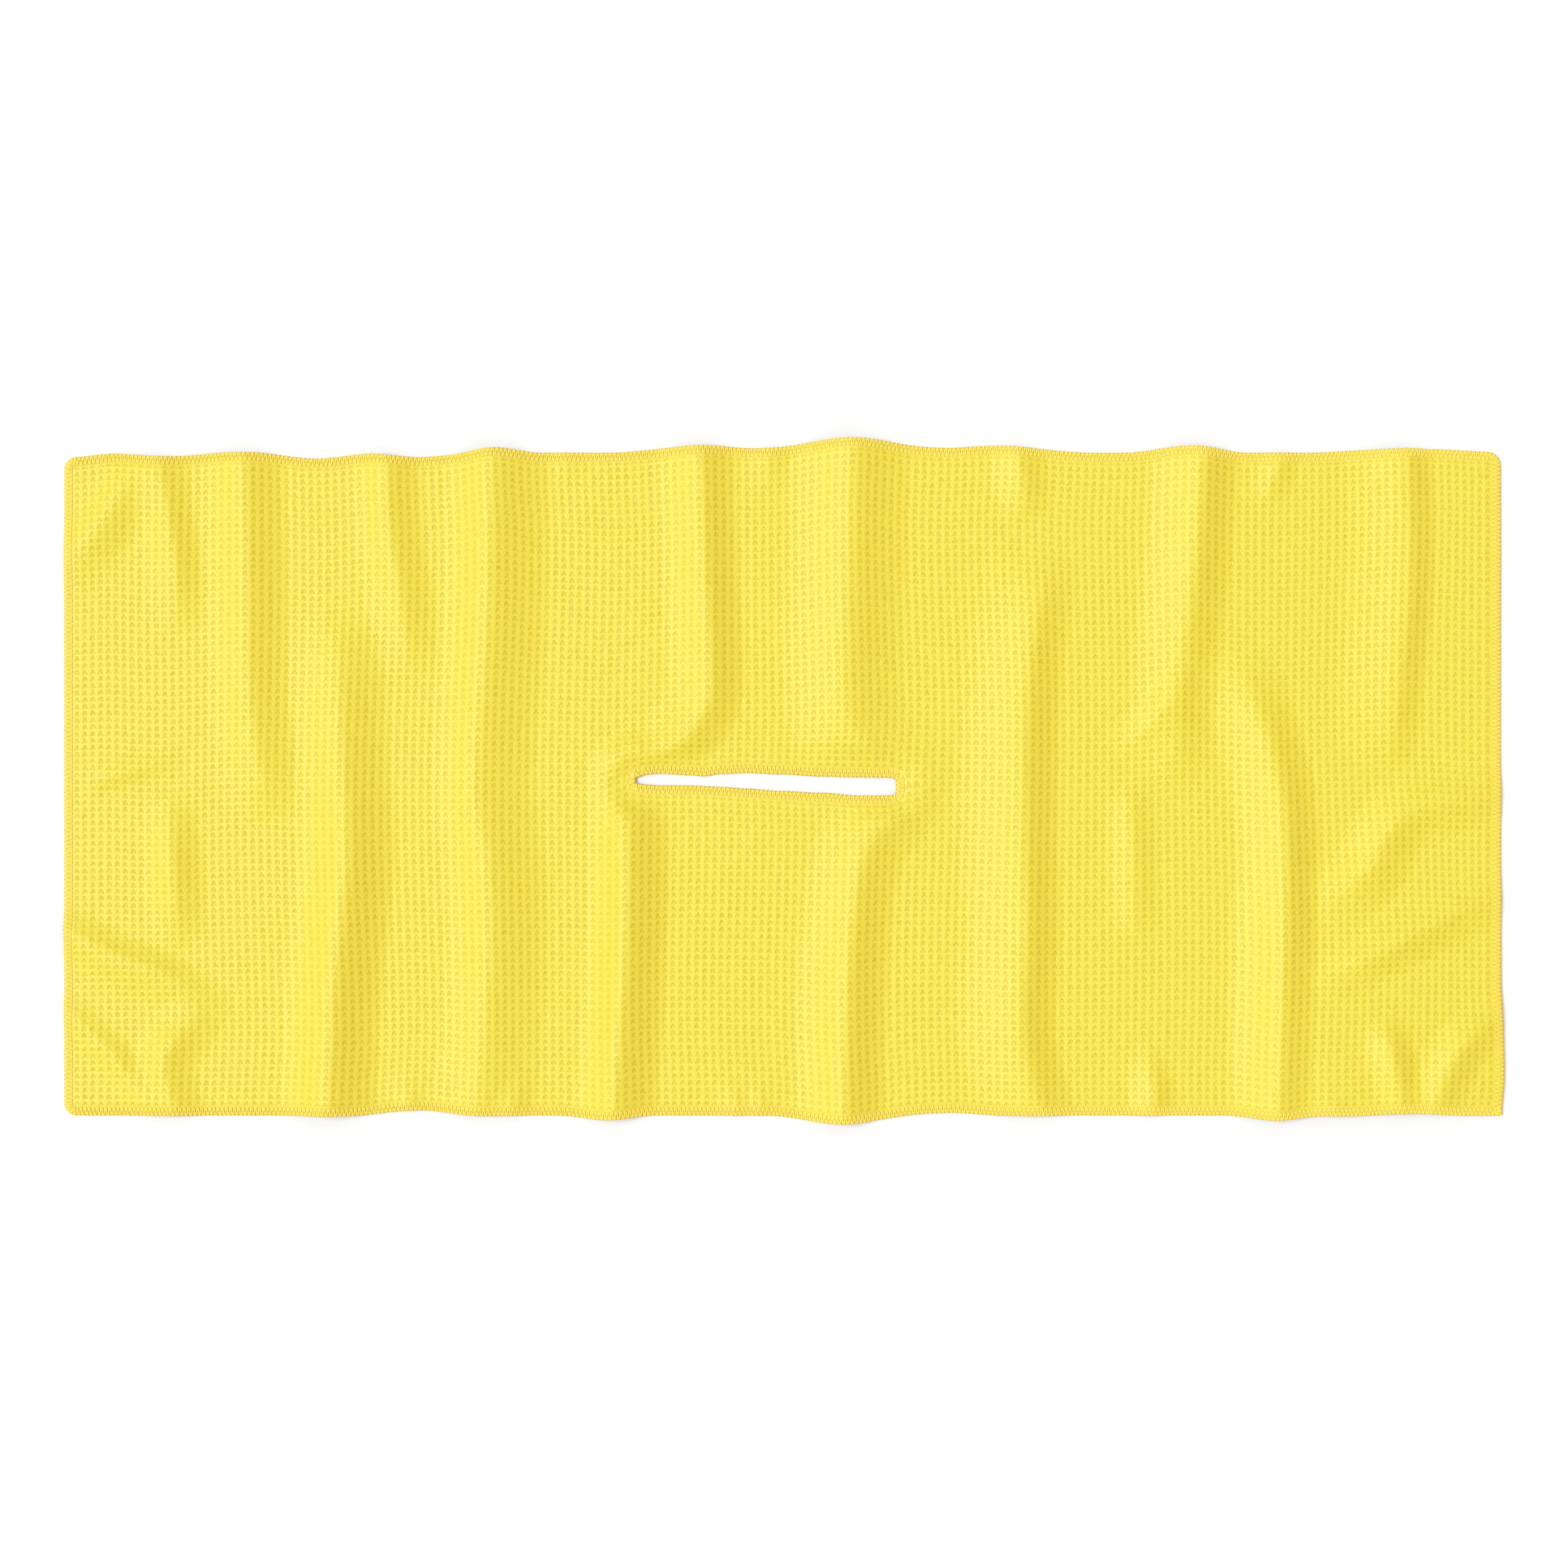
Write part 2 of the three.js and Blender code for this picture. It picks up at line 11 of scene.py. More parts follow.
import bpy
import numpy as np
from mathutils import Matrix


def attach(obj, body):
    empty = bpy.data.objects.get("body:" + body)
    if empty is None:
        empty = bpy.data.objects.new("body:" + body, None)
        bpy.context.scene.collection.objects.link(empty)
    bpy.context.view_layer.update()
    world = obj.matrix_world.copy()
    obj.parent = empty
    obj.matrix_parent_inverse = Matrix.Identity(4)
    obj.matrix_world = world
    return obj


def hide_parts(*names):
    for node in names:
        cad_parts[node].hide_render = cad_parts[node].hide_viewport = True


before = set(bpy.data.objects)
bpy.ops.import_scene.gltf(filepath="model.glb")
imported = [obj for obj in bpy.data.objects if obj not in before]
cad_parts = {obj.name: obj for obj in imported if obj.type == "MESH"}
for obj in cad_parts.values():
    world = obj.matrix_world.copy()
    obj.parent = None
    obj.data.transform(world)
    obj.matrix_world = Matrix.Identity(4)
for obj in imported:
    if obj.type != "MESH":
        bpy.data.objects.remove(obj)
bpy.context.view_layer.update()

MM = 0.001

# %% [markdown]
# ## The sizes of the towel
#
# A few driving dimensions fix the rest, and they follow the solid model's: a cloth about a metre long
# once its ripples have taken up a little of its cut length, a seam a little over 5 mm wide, and a slit
# 181 mm long that sits slightly left of the middle. They are written once, so that a change to one of
# them carries through the whole towel.

# %% Driving dimensions
LENGTH = 1003 * MM
WIDTH = 464.5 * MM
CLOTH_THICKNESS = 2.6 * MM  # over the raised walls of the weave
SEAM_CLOTH_THICKNESS = 0.8 * MM  # where the stitches squeeze it
SEAM_WIDTH = 5.4 * MM
RIM = 0.8 * MM  # how far the binding stands out past the cut edge
SLIT_LENGTH = 181 * MM
SLIT_CENTRE_X = -12.7 * MM
SLIT_OPEN_WIDTH = 11.4 * MM
CORNER_RADIUS = 8 * MM

HALF_LENGTH = LENGTH / 2
HALF_WIDTH = WIDTH / 2
MID_HEIGHT = CLOTH_THICKNESS / 2
END = HALF_LENGTH - RIM  # where the cloth is cut, just inside the binding
print("the cloth is cut", round(2 * END / MM, 1), "mm long as it lies")

# %% [markdown]
# ## Camera
#
# The towel is seen from straight above, square to the frame. A camera could be turned and moved by eye
# until the towel fills the view. It is simpler to say how much of the floor the view should span and to
# work the lens out from that. The long lens keeps the sides parallel, as a camera on a tall stand would.

# %% The camera on its stand
CAMERA_HEIGHT = 2.5
VIEW_WIDTH = 1.093  # how much of the floor the view spans
SENSOR = 36.0  # millimetres, as Blender counts a sensor's width
AIM_Y = -2.15 * MM  # the towel sits this much above the middle of the view

camera_data = bpy.data.cameras.new("camera")
camera_data.sensor_width = SENSOR
camera_data.lens = SENSOR * CAMERA_HEIGHT / VIEW_WIDTH
camera = bpy.data.objects.new("camera", camera_data)
camera.location = (0, AIM_Y, CAMERA_HEIGHT)
bpy.context.scene.collection.objects.link(camera)
bpy.context.scene.camera = camera
print("lens", round(camera_data.lens, 1), "mm")

# %% [markdown]
# ## How the cloth lies
#
# A folded towel keeps its creases when it is opened out, so it lies in long soft ridges that mostly run
# across it. A cloth simulation would make ridges of its own and put them where it likes, so each one is
# given instead: a crest line with a height and two flank widths. The crest is slightly round, and a
# flank falls steeply below it and eases out into the flat cloth, as a stiff, spongy weave does. A crest's
# points are per cent of the half length, per cent of the half width and height in mm. The list goes
# roughly from the left end of the towel to its right end.

# %% The ridges
RIDGES = [  # width of the left and of the right flank in mm, then the crest from its top down
    (22, 15, [(-87, 100, 5), (-85.2, 76, 5.5), (-84.4, 64, 5), (-84.2, 43, 0)]),
    (26, 22, [(-75, 104, 8), (-74.5, 65, 8), (-74.2, 28, 7), (-72.8, 4, 5), (-71.2, -11, 0)]),
    (18, 17, [(-85.4, -2, 0), (-85, -20, 5.5), (-84.6, -34, 5), (-84.2, -50, 0)]),
    (29, 27, [(-62, 52, 0), (-61.8, 34, 6.5), (-61.2, 4, 9.5), (-60.6, -21, 12), (-61.6, -45, 13),
              (-62.6, -69, 13), (-63.4, -104, 12.5)]),
    (22, 19, [(-55.2, 104, 7), (-54.8, 77, 7), (-53, 53, 5.5), (-52, 30, 0)]),
    (27, 33, [(-40.6, 104, 11), (-40.9, 65, 11), (-41.4, 40, 10), (-42.6, 4, 9), (-42.3, -9, 9),
              (-41.2, -23, 9.5), (-40.7, -45, 9.5), (-41.3, -69, 8), (-42.8, -104, 5.5)]),
    (26, 19, [(-11.7, 104, 9), (-11, 65, 9.5), (-10.3, 38, 9), (-10.6, 24, 8), (-14.4, 12, 6.5),
              (-20, 5, 4)]),
    (23, 24, [(-22, 4, 6.5), (-21.8, -21, 11), (-22, -45, 12), (-22.6, -69, 12), (-23.8, -104, 11)]),
    (37, 33, [(9.6, 104, 11), (9, 65, 10.5), (8.5, 28, 9), (10.5, 13, 6.5), (15.6, 3, 3.5)]),
    (29, 23, [(16.2, -6, 4), (11.2, -21, 8), (9.3, -45, 10.5), (8.6, -69, 11), (8.3, -104, 11)]),
    (38, 20, [(37.6, 70, 0), (34.9, 50, 6.5), (33.5, 21, 9), (33.2, -9, 9.5), (33.5, -45, 9.5),
              (33, -77, 9), (36.3, -104, 6.5)]),
    (30, 21, [(58.2, 104, 10.5), (56.9, 65, 9.5), (55.5, 40, 7), (54.6, 16, 5), (54.4, -2, 0)]),
    (29, 20, [(62.5, 40, 0), (66.3, 18, 6.5), (68.8, -3, 9), (69.5, -23, 10.5), (69.1, -45, 10.5),
              (68.2, -104, 9.5)]),
    (38, 15, [(86.2, 104, 7), (86.7, 65, 6.5), (85.7, 40, 6.5), (84.6, 16, 4), (84, 2, 0)]),
    (50, 150, [(70, -26, 0), (73, -50, 4), (75, -80, 6.5), (76, -104, 6.5)]),
]
print(len(RIDGES), "ridges, the highest", max(z for _, _, crest in RIDGES for _, _, z in crest), "mm")

# %% [markdown]
# Between the ridges lie smaller creases: slanting ones where the four corners were folded in, and short
# puckers that the seam draws into the cloth.

# %% The small creases
CREASES = [  # read as the ridges are
    (18, 22, [(-89, 98, 0), (-92, 87, 5), (-96, 74, 5), (-100, 65, 2)]),
    (10, 12, [(-98, -1, 0), (-92, 3, 2.5), (-83, 8, 0)]),
    (24, 14, [(-100, -44, 4), (-93, -52, 5), (-86, -58, 5), (-77, -70, 0)]),
    (20, 18, [(-80, -68, 0), (-84.5, -77, 6), (-86, -86, 6), (-84, -104, 6)]),
    (14, 12, [(-100, -68, 2), (-92, -85, 3.5), (-87, -102, 2)]),
    (18, 16, [(32.2, 104, 5), (33, 90, 5), (33.8, 78, 0)]),
    (16, 14, [(48, 0, 0), (48.3, -12, 3), (48.8, -35, 2.5), (49, -50, 0)]),
    (16, 12, [(50, -78, 0), (51.3, -92, 4), (50.6, -104, 4)]),
    (22, 22, [(100, -3, 1.5), (94, -5, 5), (87, -8, 6.5), (83.5, -16, 7), (80.5, -27, 6), (73.5, -38, 0)]),
    (20, 18, [(100, -34, 1.5), (92, -40, 5), (83, -50, 5.5), (73, -61, 0)]),
    (18, 16, [(99, -69, 1.5), (94, -79, 6), (91, -92, 5), (90, -104, 3)]),
    (16, 14, [(83, -70, 0), (84, -80, 5), (85.2, -92, 5), (86, -104, 3)]),
    (12, 10, [(-52.4, -86, 0), (-51.8, -104, 3.5)]),
    (12, 10, [(-36, -86, 0), (-38.4, -104, 3.5)]),
    (12, 10, [(-7.4, -88, 0), (-6.4, -104, 3)]),
    (10, 9, [(-3.4, -90, 0), (-3.6, -104, 3)]),
    (14, 12, [(-2, 104, 3), (-2.6, 86, 0)]),
    (12, 10, [(-30, 104, 2.5), (-30.6, 90, 0)]),
    (16, 14, [(46, 8, 0), (52, 21, 3), (55.4, 34, 0)]),
    (14, 12, [(76, -92, 0), (77, -104, 3)]),
    (14, 12, [(69.5, 104, 3), (68.2, 92, 3), (66.4, 82, 0)]),
]
print(len(CREASES), "small creases")

# %% [markdown]
# A crest given as a few points would have corners. A Catmull-Rom spline goes through every one of the
# points and rounds the line between them, so the crest wanders as a fold does.

# %% Crest lines
CREST_POINTS = 24
CREST_UNITS = np.array([HALF_LENGTH / 100, HALF_WIDTH / 100, MM])  # what a crest point's numbers count
END_SHORT = 1e-9  # the last point is taken a hair before the end, so that it still lies in a span


def spline(points, count):
    """A smooth line of count points through the given points."""
    p = np.array(points, float)
    p = np.vstack([2 * p[0] - p[1], p, 2 * p[-1] - p[-2]])
    spans = len(p) - 3
    at = np.linspace(0, spans - END_SHORT, count)
    k = at.astype(int)
    t = (at - k)[:, None]
    a, b, c, d = p[k], p[k + 1], p[k + 2], p[k + 3]
    return 0.5 * (2 * b + (c - a) * t + (2 * a - 5 * b + 4 * c - d) * t**2 + (3 * b - a - 3 * c + d) * t**3)


CRESTS = []
for left, right, crest in RIDGES + CREASES:
    CRESTS.append((spline(np.array(crest) * CREST_UNITS, CREST_POINTS), left * MM, right * MM))
print(len(CRESTS), "crest lines of", CREST_POINTS, "points")

# %% [markdown]
# The height of the cloth at a place is the sum of what each nearby ridge lifts it, plus a very slight
# waviness that no cloth is free of. Only the nearest stretch of a crest counts, and the side of it that
# the place is on says which flank width to use. The stitches round the slit hold the cloth down.

# %% The height of the cloth
CREST_ROUNDING = 0.3  # how much of a flank's width the round of the crest takes
LEFT_CURVE = 1.8  # 1 would be a straight flank; more lets it ease out into the flat cloth
RIGHT_CURVE = 1.6
SLIT_LEFT = SLIT_CENTRE_X - SLIT_LENGTH / 2 - RIM
SLIT_RIGHT = SLIT_CENTRE_X + SLIT_LENGTH / 2 + RIM
SLIT_HOLD = 0.15  # the share of its height that a ridge keeps at the slit, whose stitches lie flat
HOLD_NEAR = 7 * MM  # it is held that much up to here, measured from the slit's middle line
HOLD_REACH = 22 * MM  # and is let go over this distance
WAVE_HEIGHT = 0.35 * MM
WAVES = [  # radians a metre along X and along Y, and where the wave starts
    (37, 11, 0.3),
    (23, -19, 1.1),
    (-13, 41, 2.0),
    (61, 29, 4.1),
    (9, 67, 5.2),
]


def smooth_step(t):
    """Eases from 0 at t = 0 to 1 at t = 1, and stays level outside."""
    t = np.clip(t, 0, 1)
    return t * t * (3 - 2 * t)


def past_slit(x):
    """How far x lies past the nearer end of the slit, or 0 beside the slit."""
    return np.maximum(np.maximum(SLIT_LEFT - x, x - SLIT_RIGHT), 0)


def ridge_lift(x, y, crest, left, right):
    """What one ridge adds to the height at each (x, y)."""
    best = np.full(x.shape, np.inf)
    lift = np.zeros(x.shape)
    for a, b in zip(crest[:-1], crest[1:]):
        step = b - a
        t = ((x - a[0]) * step[0] + (y - a[1]) * step[1]) / (step[0] ** 2 + step[1] ** 2)
        t = np.clip(t, 0, 1)
        across_x = x - a[0] - t * step[0]
        across_y = y - a[1] - t * step[1]
        distance = np.hypot(across_x, across_y)
        on_right = step[0] * (y - a[1]) - step[1] * (x - a[0]) > 0
        along_flank = distance / np.where(on_right, right, left)
        softened = np.hypot(along_flank, CREST_ROUNDING) - CREST_ROUNDING
        fall = np.clip(1 - softened, 0, None) ** np.where(on_right, RIGHT_CURVE, LEFT_CURVE)
        here = np.clip(a[2] + t * step[2], 0, None) * fall
        nearer = distance < best
        best = np.where(nearer, distance, best)
        lift = np.where(nearer, here, lift)
    return lift


def height(x, y):
    """The height of the cloth's underside over the floor."""
    total = np.zeros(x.shape)
    for crest, left, right in CRESTS:
        reach = (1 + CREST_ROUNDING) * max(left, right)
        low = crest.min(axis=0) - reach
        high = crest.max(axis=0) + reach
        near = (x > low[0]) & (x < high[0]) & (y > low[1]) & (y < high[1])
        total[near] += ridge_lift(x[near], y[near], crest, left, right)
    from_slit = np.hypot(past_slit(x), y)
    total *= SLIT_HOLD + (1 - SLIT_HOLD) * smooth_step((from_slit - HOLD_NEAR) / HOLD_REACH)
    for kx, ky, phase in WAVES:
        total += WAVE_HEIGHT / len(WAVES) * (1 + np.sin(kx * x + ky * y + phase))
    return total


look_x = np.linspace(-END, END, 9)
look_y = np.full(9, 0.9 * HALF_WIDTH)
print("heights near the upper side, in mm:", np.round(height(look_x, look_y) / MM, 1))

# %% [markdown]
# ## The outline
#
# The long sides aren't straight. Where a ridge runs out over the edge the side swings outwards, and
# between ridges it is drawn in. A traced outline would have to be drawn again for every other size, so
# each swing is one soft bump at its own place instead. Three corners are rounded, because the binding is
# sewn round them in one go; the fourth, where the seam starts and ends, is square.

# %% Long sides
TOP_SLACK = 2.6 * MM  # how far the upper side is drawn in before its swings
TOP_SWINGS = [  # per cent of the half length, mm outwards, mm either way
    (-99, -3, 35),
    (-86, -2.6, 45),
    (-65, -4, 45),
    (-51, -3, 45),
    (-40, 3, 30),
    (-11, 4.8, 70),
    (9.3, 10, 80),
    (29, 4.8, 70),
    (56, 4.5, 45),
    (87, 2.8, 80),
]
BOTTOM_SWINGS = [
    (-51, -3.6, 45),
    (-25, 2.6, 35),
    (8, 5.5, 55),
    (23, -1.8, 40),
    (68, 2.8, 35),
    (87, -1.8, 45),
]
SIDE_SAMPLES = 2001  # how finely the long sides are searched for their furthest points


def swing(swings, x):
    """How far outwards all the swings of one side take it at x."""
    total = np.zeros(np.shape(x))
    for at, out, reach in swings:
        total += out * MM * smooth_step(1 - np.abs(x - at / 100 * HALF_LENGTH) / (reach * MM))
    return total


def top_edge(x):
    """The Y of the cloth's upper cut edge at x."""
    return HALF_WIDTH - RIM - TOP_SLACK + swing(TOP_SWINGS, x)


def bottom_edge(x):
    """The Y of its lower cut edge."""
    return -(HALF_WIDTH - RIM + swing(BOTTOM_SWINGS, x))


along = np.linspace(-END, END, SIDE_SAMPLES)
SHIFT_Y = -(top_edge(along).max() + bottom_edge(along).min()) / 2  # the middle of the box is the origin
print("the outline is moved by", round(SHIFT_Y / MM, 2), "mm in Y")

# %% [markdown]
# ## The slit
#
# The slit is a straight cut whose lips have parted, more on the right than on the left. Cutting it out of
# a finished mesh with a boolean would leave ragged faces and nothing even to sew to. So one row of waffle
# cells is left out of the flat cloth; its lips then move to where they lie, and the cloth beside them
# moves along, less and less with distance.

# %% Where the lips lie
SLIT_LIPS = [  # per cent along the slit, then the upper and lower lip as per cent of the widest opening
    (0, 24, -2),
    (4, 45, -12),
    (9, 51, -17),
    (21, 42, -18),
    (26, 35, -22),
    (33, 49, -27),
    (42, 56, -37),
    (56, 47, -52),
    (71, 34, -63),
    (86, 29, -80),
    (94, 28, -80),
    (97.5, 26, -79),
    (99, 20, -72),
    (100, 8, -56),
]


def lip(x, upper):
    """The cut edge of one lip at x; past the ends, where it would be at the end."""
    percent = np.clip((x - SLIT_LEFT) / (SLIT_RIGHT - SLIT_LEFT) * 100, 0, 100)
    knots, upper_lip, lower_lip = np.array(SLIT_LIPS, float).T
    k = np.clip(np.searchsorted(knots, percent, side="right") - 1, 0, len(knots) - 2)
    t = smooth_step((percent - knots[k]) / (knots[k + 1] - knots[k]))
    values = upper_lip if upper else lower_lip
    clear = (values[k] + t * (values[k + 1] - values[k])) / 100 * SLIT_OPEN_WIDTH
    return clear + (RIM if upper else -RIM)


look_x = np.linspace(SLIT_LEFT, SLIT_RIGHT, 5)
opening = lip(look_x, True) - lip(look_x, False) - 2 * RIM
print("clear opening along the slit, in mm:", np.round(opening / MM, 1))

# %% [markdown]
# ## The grid of the cloth
#
# The weave is a grid of cells, 5.6 mm along the towel by 4.8 mm across it, so the mesh is a grid too, with
# four steps to a cell. Its lines are straight in the flat cloth; laying it out bends them with the long
# sides, round the slit and round the corners. A plane with a subdivision modifier would do for plain cloth,
# but arrays of points let every cell, lip and corner be addressed by its column and row.

# %% The grid's columns and rows
CELLS_X = 178
CELLS_Y = 96
STEPS = 4  # mesh steps to a waffle cell
COLUMNS = CELLS_X * STEPS + 1
ROWS = CELLS_Y * STEPS + 1
CELL_X = 2 * END / CELLS_X
SLOT_CELL = 47  # the row of cells that the slit takes, counted from the bottom
# the first and last whole columns of the slot, and its two rows
SLOT_FIRST = round((SLIT_LEFT + END) / CELL_X * STEPS)
SLOT_LAST = round((SLIT_RIGHT + END) / CELL_X * STEPS)
SLOT_LOW = SLOT_CELL * STEPS
SLOT_HIGH = SLOT_LOW + STEPS
END_CELLS = 6  # how many cells either side give way when an end column of the slot is moved

column = np.arange(COLUMNS)
row = np.arange(ROWS)
x_line = -END + 2 * END * column / (COLUMNS - 1)
# the slot's end columns are moved exactly to the ends of the cut, and their neighbours with them
for index, wanted in ((SLOT_FIRST, SLIT_LEFT), (SLOT_LAST, SLIT_RIGHT)):
    x_line += (wanted - x_line[index]) * smooth_step(1 - np.abs(column - index) / (END_CELLS * STEPS))
print("grid of", COLUMNS, "by", ROWS, "points; slot columns", SLOT_FIRST, "to", SLOT_LAST)

# %% Lay the grid out between the sides and round the slit
SLIT_EASE_Y = 50 * MM  # how far above and below the slit the cloth moves with its lips
SLIT_EASE_X = 28 * MM  # and how far past its ends

X = np.repeat(x_line[:, None], ROWS, axis=1)
share = row[None, :] / (ROWS - 1)
Y = bottom_edge(X) + (top_edge(X) - bottom_edge(X)) * share

past_end = past_slit(X)
fade_x = smooth_step(1 - past_end / SLIT_EASE_X)
for upper, first_row in ((True, SLOT_HIGH), (False, SLOT_LOW)):
    lip_y = Y[:, first_row][:, None]
    beyond = (Y - lip_y) if upper else (lip_y - Y)
    side = (row >= first_row) if upper else (row <= first_row)
    move = (lip(X, upper) - lip_y) * fade_x * smooth_step(1 - beyond / SLIT_EASE_Y)
    Y = np.where(side[None, :], Y + move, Y)
# the rows between the two lip rows are spread evenly between them
for k in range(1, STEPS):
    Y[:, SLOT_LOW + k] = Y[:, SLOT_LOW] + (Y[:, SLOT_HIGH] - Y[:, SLOT_LOW]) * k / STEPS
print("cell size", round(CELL_X / MM, 2), "by", round(2 * HALF_WIDTH / CELLS_Y / MM, 2), "mm")

# %% [markdown]
# A corner could be cut off round, but then its cells would be cut too. Real cloth is folded and pressed
# into the round by the sewing, so the square corner of the grid is pressed into a quarter circle.

# %% Round the corners
def round_corner(X, Y, corner_x, corner_y, radius):
    """Presses one square corner of the grid into a quarter circle."""
    sx, sy = np.sign(corner_x), np.sign(corner_y)
    p = (X - (corner_x - sx * radius)) * sx / radius
    q = (Y - (corner_y - sy * radius)) * sy / radius
    inside = (p > 0) & (q > 0)
    p_round = p * np.sqrt(np.clip(1 - q * q / 2, 0, None))
    q_round = q * np.sqrt(np.clip(1 - p * p / 2, 0, None))
    new_x = (corner_x - sx * radius) + sx * p_round * radius
    new_y = (corner_y - sy * radius) + sy * q_round * radius
    return np.where(inside, new_x, X), np.where(inside, new_y, Y)


ROUND_CORNERS = [
    (-END, float(bottom_edge(-END))),
    (-END, float(top_edge(-END))),
    (END, float(top_edge(END))),
]
for corner_x, corner_y in ROUND_CORNERS:
    X, Y = round_corner(X, Y, corner_x, corner_y, CORNER_RADIUS)
print(len(ROUND_CORNERS), "corners rounded to", round(CORNER_RADIUS / MM, 1), "mm")

# %% [markdown]
# Under the stitches the cloth is squeezed to a third of its thickness, and the cells are pressed flat. So
# every point needs its distance to the nearest cut edge.

# %% Distance to the nearest cut edge
LIP_POINTS = 160
RIGHT_END_POINTS = 12  # the right end of the slit stands open wider than the left one
LEFT_END_POINTS = 8
NEAR_SLIT_X = 12 * MM  # only the cloth this near the slit is measured to it
NEAR_SLIT_Y = 24 * MM
RELIEF_INSIDE = 1 * MM  # the weave starts to stand up this far before the seam's inner side
SEAM_FADE = 3.2 * MM  # and stands fully after this much more


def slit_outline():
    """The cut edge of the slit, clockwise from its left end."""
    run = np.linspace(SLIT_LEFT, SLIT_RIGHT, LIP_POINTS)
    upper = np.column_stack([run, lip(run, True)])
    lower = np.column_stack([run, lip(run, False)])[::-1]
    right = np.linspace(upper[-1], lower[0], RIGHT_END_POINTS)[1:-1]
    left = np.linspace(lower[-1], upper[0], LEFT_END_POINTS)[1:-1]
    return np.vstack([upper, right, lower, left])


edge_distance = np.minimum.reduce([X + END, END - X, top_edge(X) - Y, Y - bottom_edge(X)])
by_slit = (X > SLIT_LEFT - NEAR_SLIT_X) & (X < SLIT_RIGHT + NEAR_SLIT_X) & (np.abs(Y) < NEAR_SLIT_Y)
points = np.column_stack([X[by_slit], Y[by_slit]])
gap = np.full(len(points), np.inf)
for cut_point in slit_outline():
    gap = np.minimum(gap, np.hypot(*(points - cut_point).T))
edge_distance[by_slit] = np.minimum(edge_distance[by_slit], gap)
free = smooth_step((edge_distance - SEAM_WIDTH + RELIEF_INSIDE) / SEAM_FADE)  # 0 in the seam, 1 in the cloth
print("share of the cloth under the seam:", round(float((free < 0.5).mean()), 3))

# %% [markdown]
# The right-hand end isn't quite straight either: it leans in a little towards the top, and its square
# corner is drawn in where the seam was started and finished.

# %% The right-hand end
END_LEAN = 2.2 * MM
LEAN_FROM = 0.07  # as shares of the towel's width, from the bottom
LEAN_OVER = 0.14
CORNER_DRAW = 1.8 * MM
CORNER_SHARE = 0.06
END_EASE = 60 * MM  # how far in from the end the cloth moves with it

lean = END_LEAN * smooth_step((share - LEAN_FROM) / LEAN_OVER)
lean = lean + CORNER_DRAW * smooth_step(1 - share / CORNER_SHARE)
X = X - lean * smooth_step(1 - (END - X) / END_EASE)
print("the right-hand end is drawn in by up to", round(float(lean.max()) / MM, 1), "mm")

# %% [markdown]
# Nor does the weave run dead straight. Away from the stitches the soft cloth has been pulled a little this
# way and that, so its columns wander by a millimetre or two. A few slow waves do this; noise would make
# the columns shiver.

# %% The weave wanders
WANDER_X = 1.2 * MM
WANDER_Y = 0.9 * MM
WAVES_X = [(1, 7, 15, 0.5), (0.6, -11, 23, 2)]  # share, radians a metre along X and along Y, start
WAVES_Y = [(1, 19, -9, 1.2), (0.5, 31, 5, 0)]
SEAM_STILL = 8 * MM  # no wander this near the outer seam, and the whole of it after the reach
SEAM_REACH = 50 * MM
SLIT_STILL = 12 * MM
SLIT_REACH = 40 * MM


def wander(waves):
    """The sum of slow waves over the cloth."""
    total = 0
    for size, kx, ky, phase in waves:
        total = total + size * np.sin(kx * X + ky * Y + phase)
    return total


from_seam = np.minimum.reduce([X + END, END - X, top_edge(X) - Y, Y - bottom_edge(X)])
loose = smooth_step((from_seam - SEAM_STILL) / SEAM_REACH)
loose *= smooth_step((np.hypot(past_end, Y) - SLIT_STILL) / SLIT_REACH)
move_x = WANDER_X * wander(WAVES_X) * loose
move_y = WANDER_Y * wander(WAVES_Y) * loose
X, Y = X + move_x, Y + move_y
print("the weave wanders by up to", round(float(np.abs(move_x).max()) / MM, 1), "mm")

# %% [markdown]
# ## Waffle relief
#
# In a waffle weave the threads float over each other by turns, and build a small square pit with raised
# walls. The walls that run across the towel are the higher ones, so they read as unbroken columns, and the
# others lie a little lower. The back has the same pits half a cell further on, where the front has its
# walls. A bump map would look flat from the side, so the relief is real geometry; no two pits are quite
# the same depth. Where the cloth is pulled tight up the left flank of a fold, its pits are drawn flatter.

# %% The relief of both faces
PIT_DEPTH = 0.62 * MM
DRAWN_RISE = 0.5  # the slope at which the cloth is pulled tight
DRAWN_FLAT = 0.25  # how much of their depth the pits lose there
LOW_WALL = 0.08  # how deep the lower walls already lie, as a share of the pit
SHALLOWEST = 0.82  # the least and the most depth of a pit, as shares of the usual one
DEEPEST = 1.12
SEED = 7
rng = np.random.default_rng(SEED)


def triangle_wave(phase):
    """0 at whole numbers and 1 halfway between them."""
    return 1 - np.abs(2 * (phase - np.floor(phase)) - 1)


def pits(shift):
    """The depth of the relief, 0 on the walls to 1 in the pits, for a face whose cells are moved by shift."""
    across = triangle_wave(column / STEPS + shift)[:, None]
    up = triangle_wave(row / STEPS + shift)[None, :]
    depth = np.minimum(across, LOW_WALL + (1 - LOW_WALL) * up)
    cell_x = np.floor(column / STEPS + shift).astype(int)
    cell_y = np.floor(row / STEPS + shift).astype(int)
    uneven = rng.uniform(SHALLOWEST, DEEPEST, (CELLS_X + 2, CELLS_Y + 2))
    return depth * uneven[cell_x][:, cell_y]


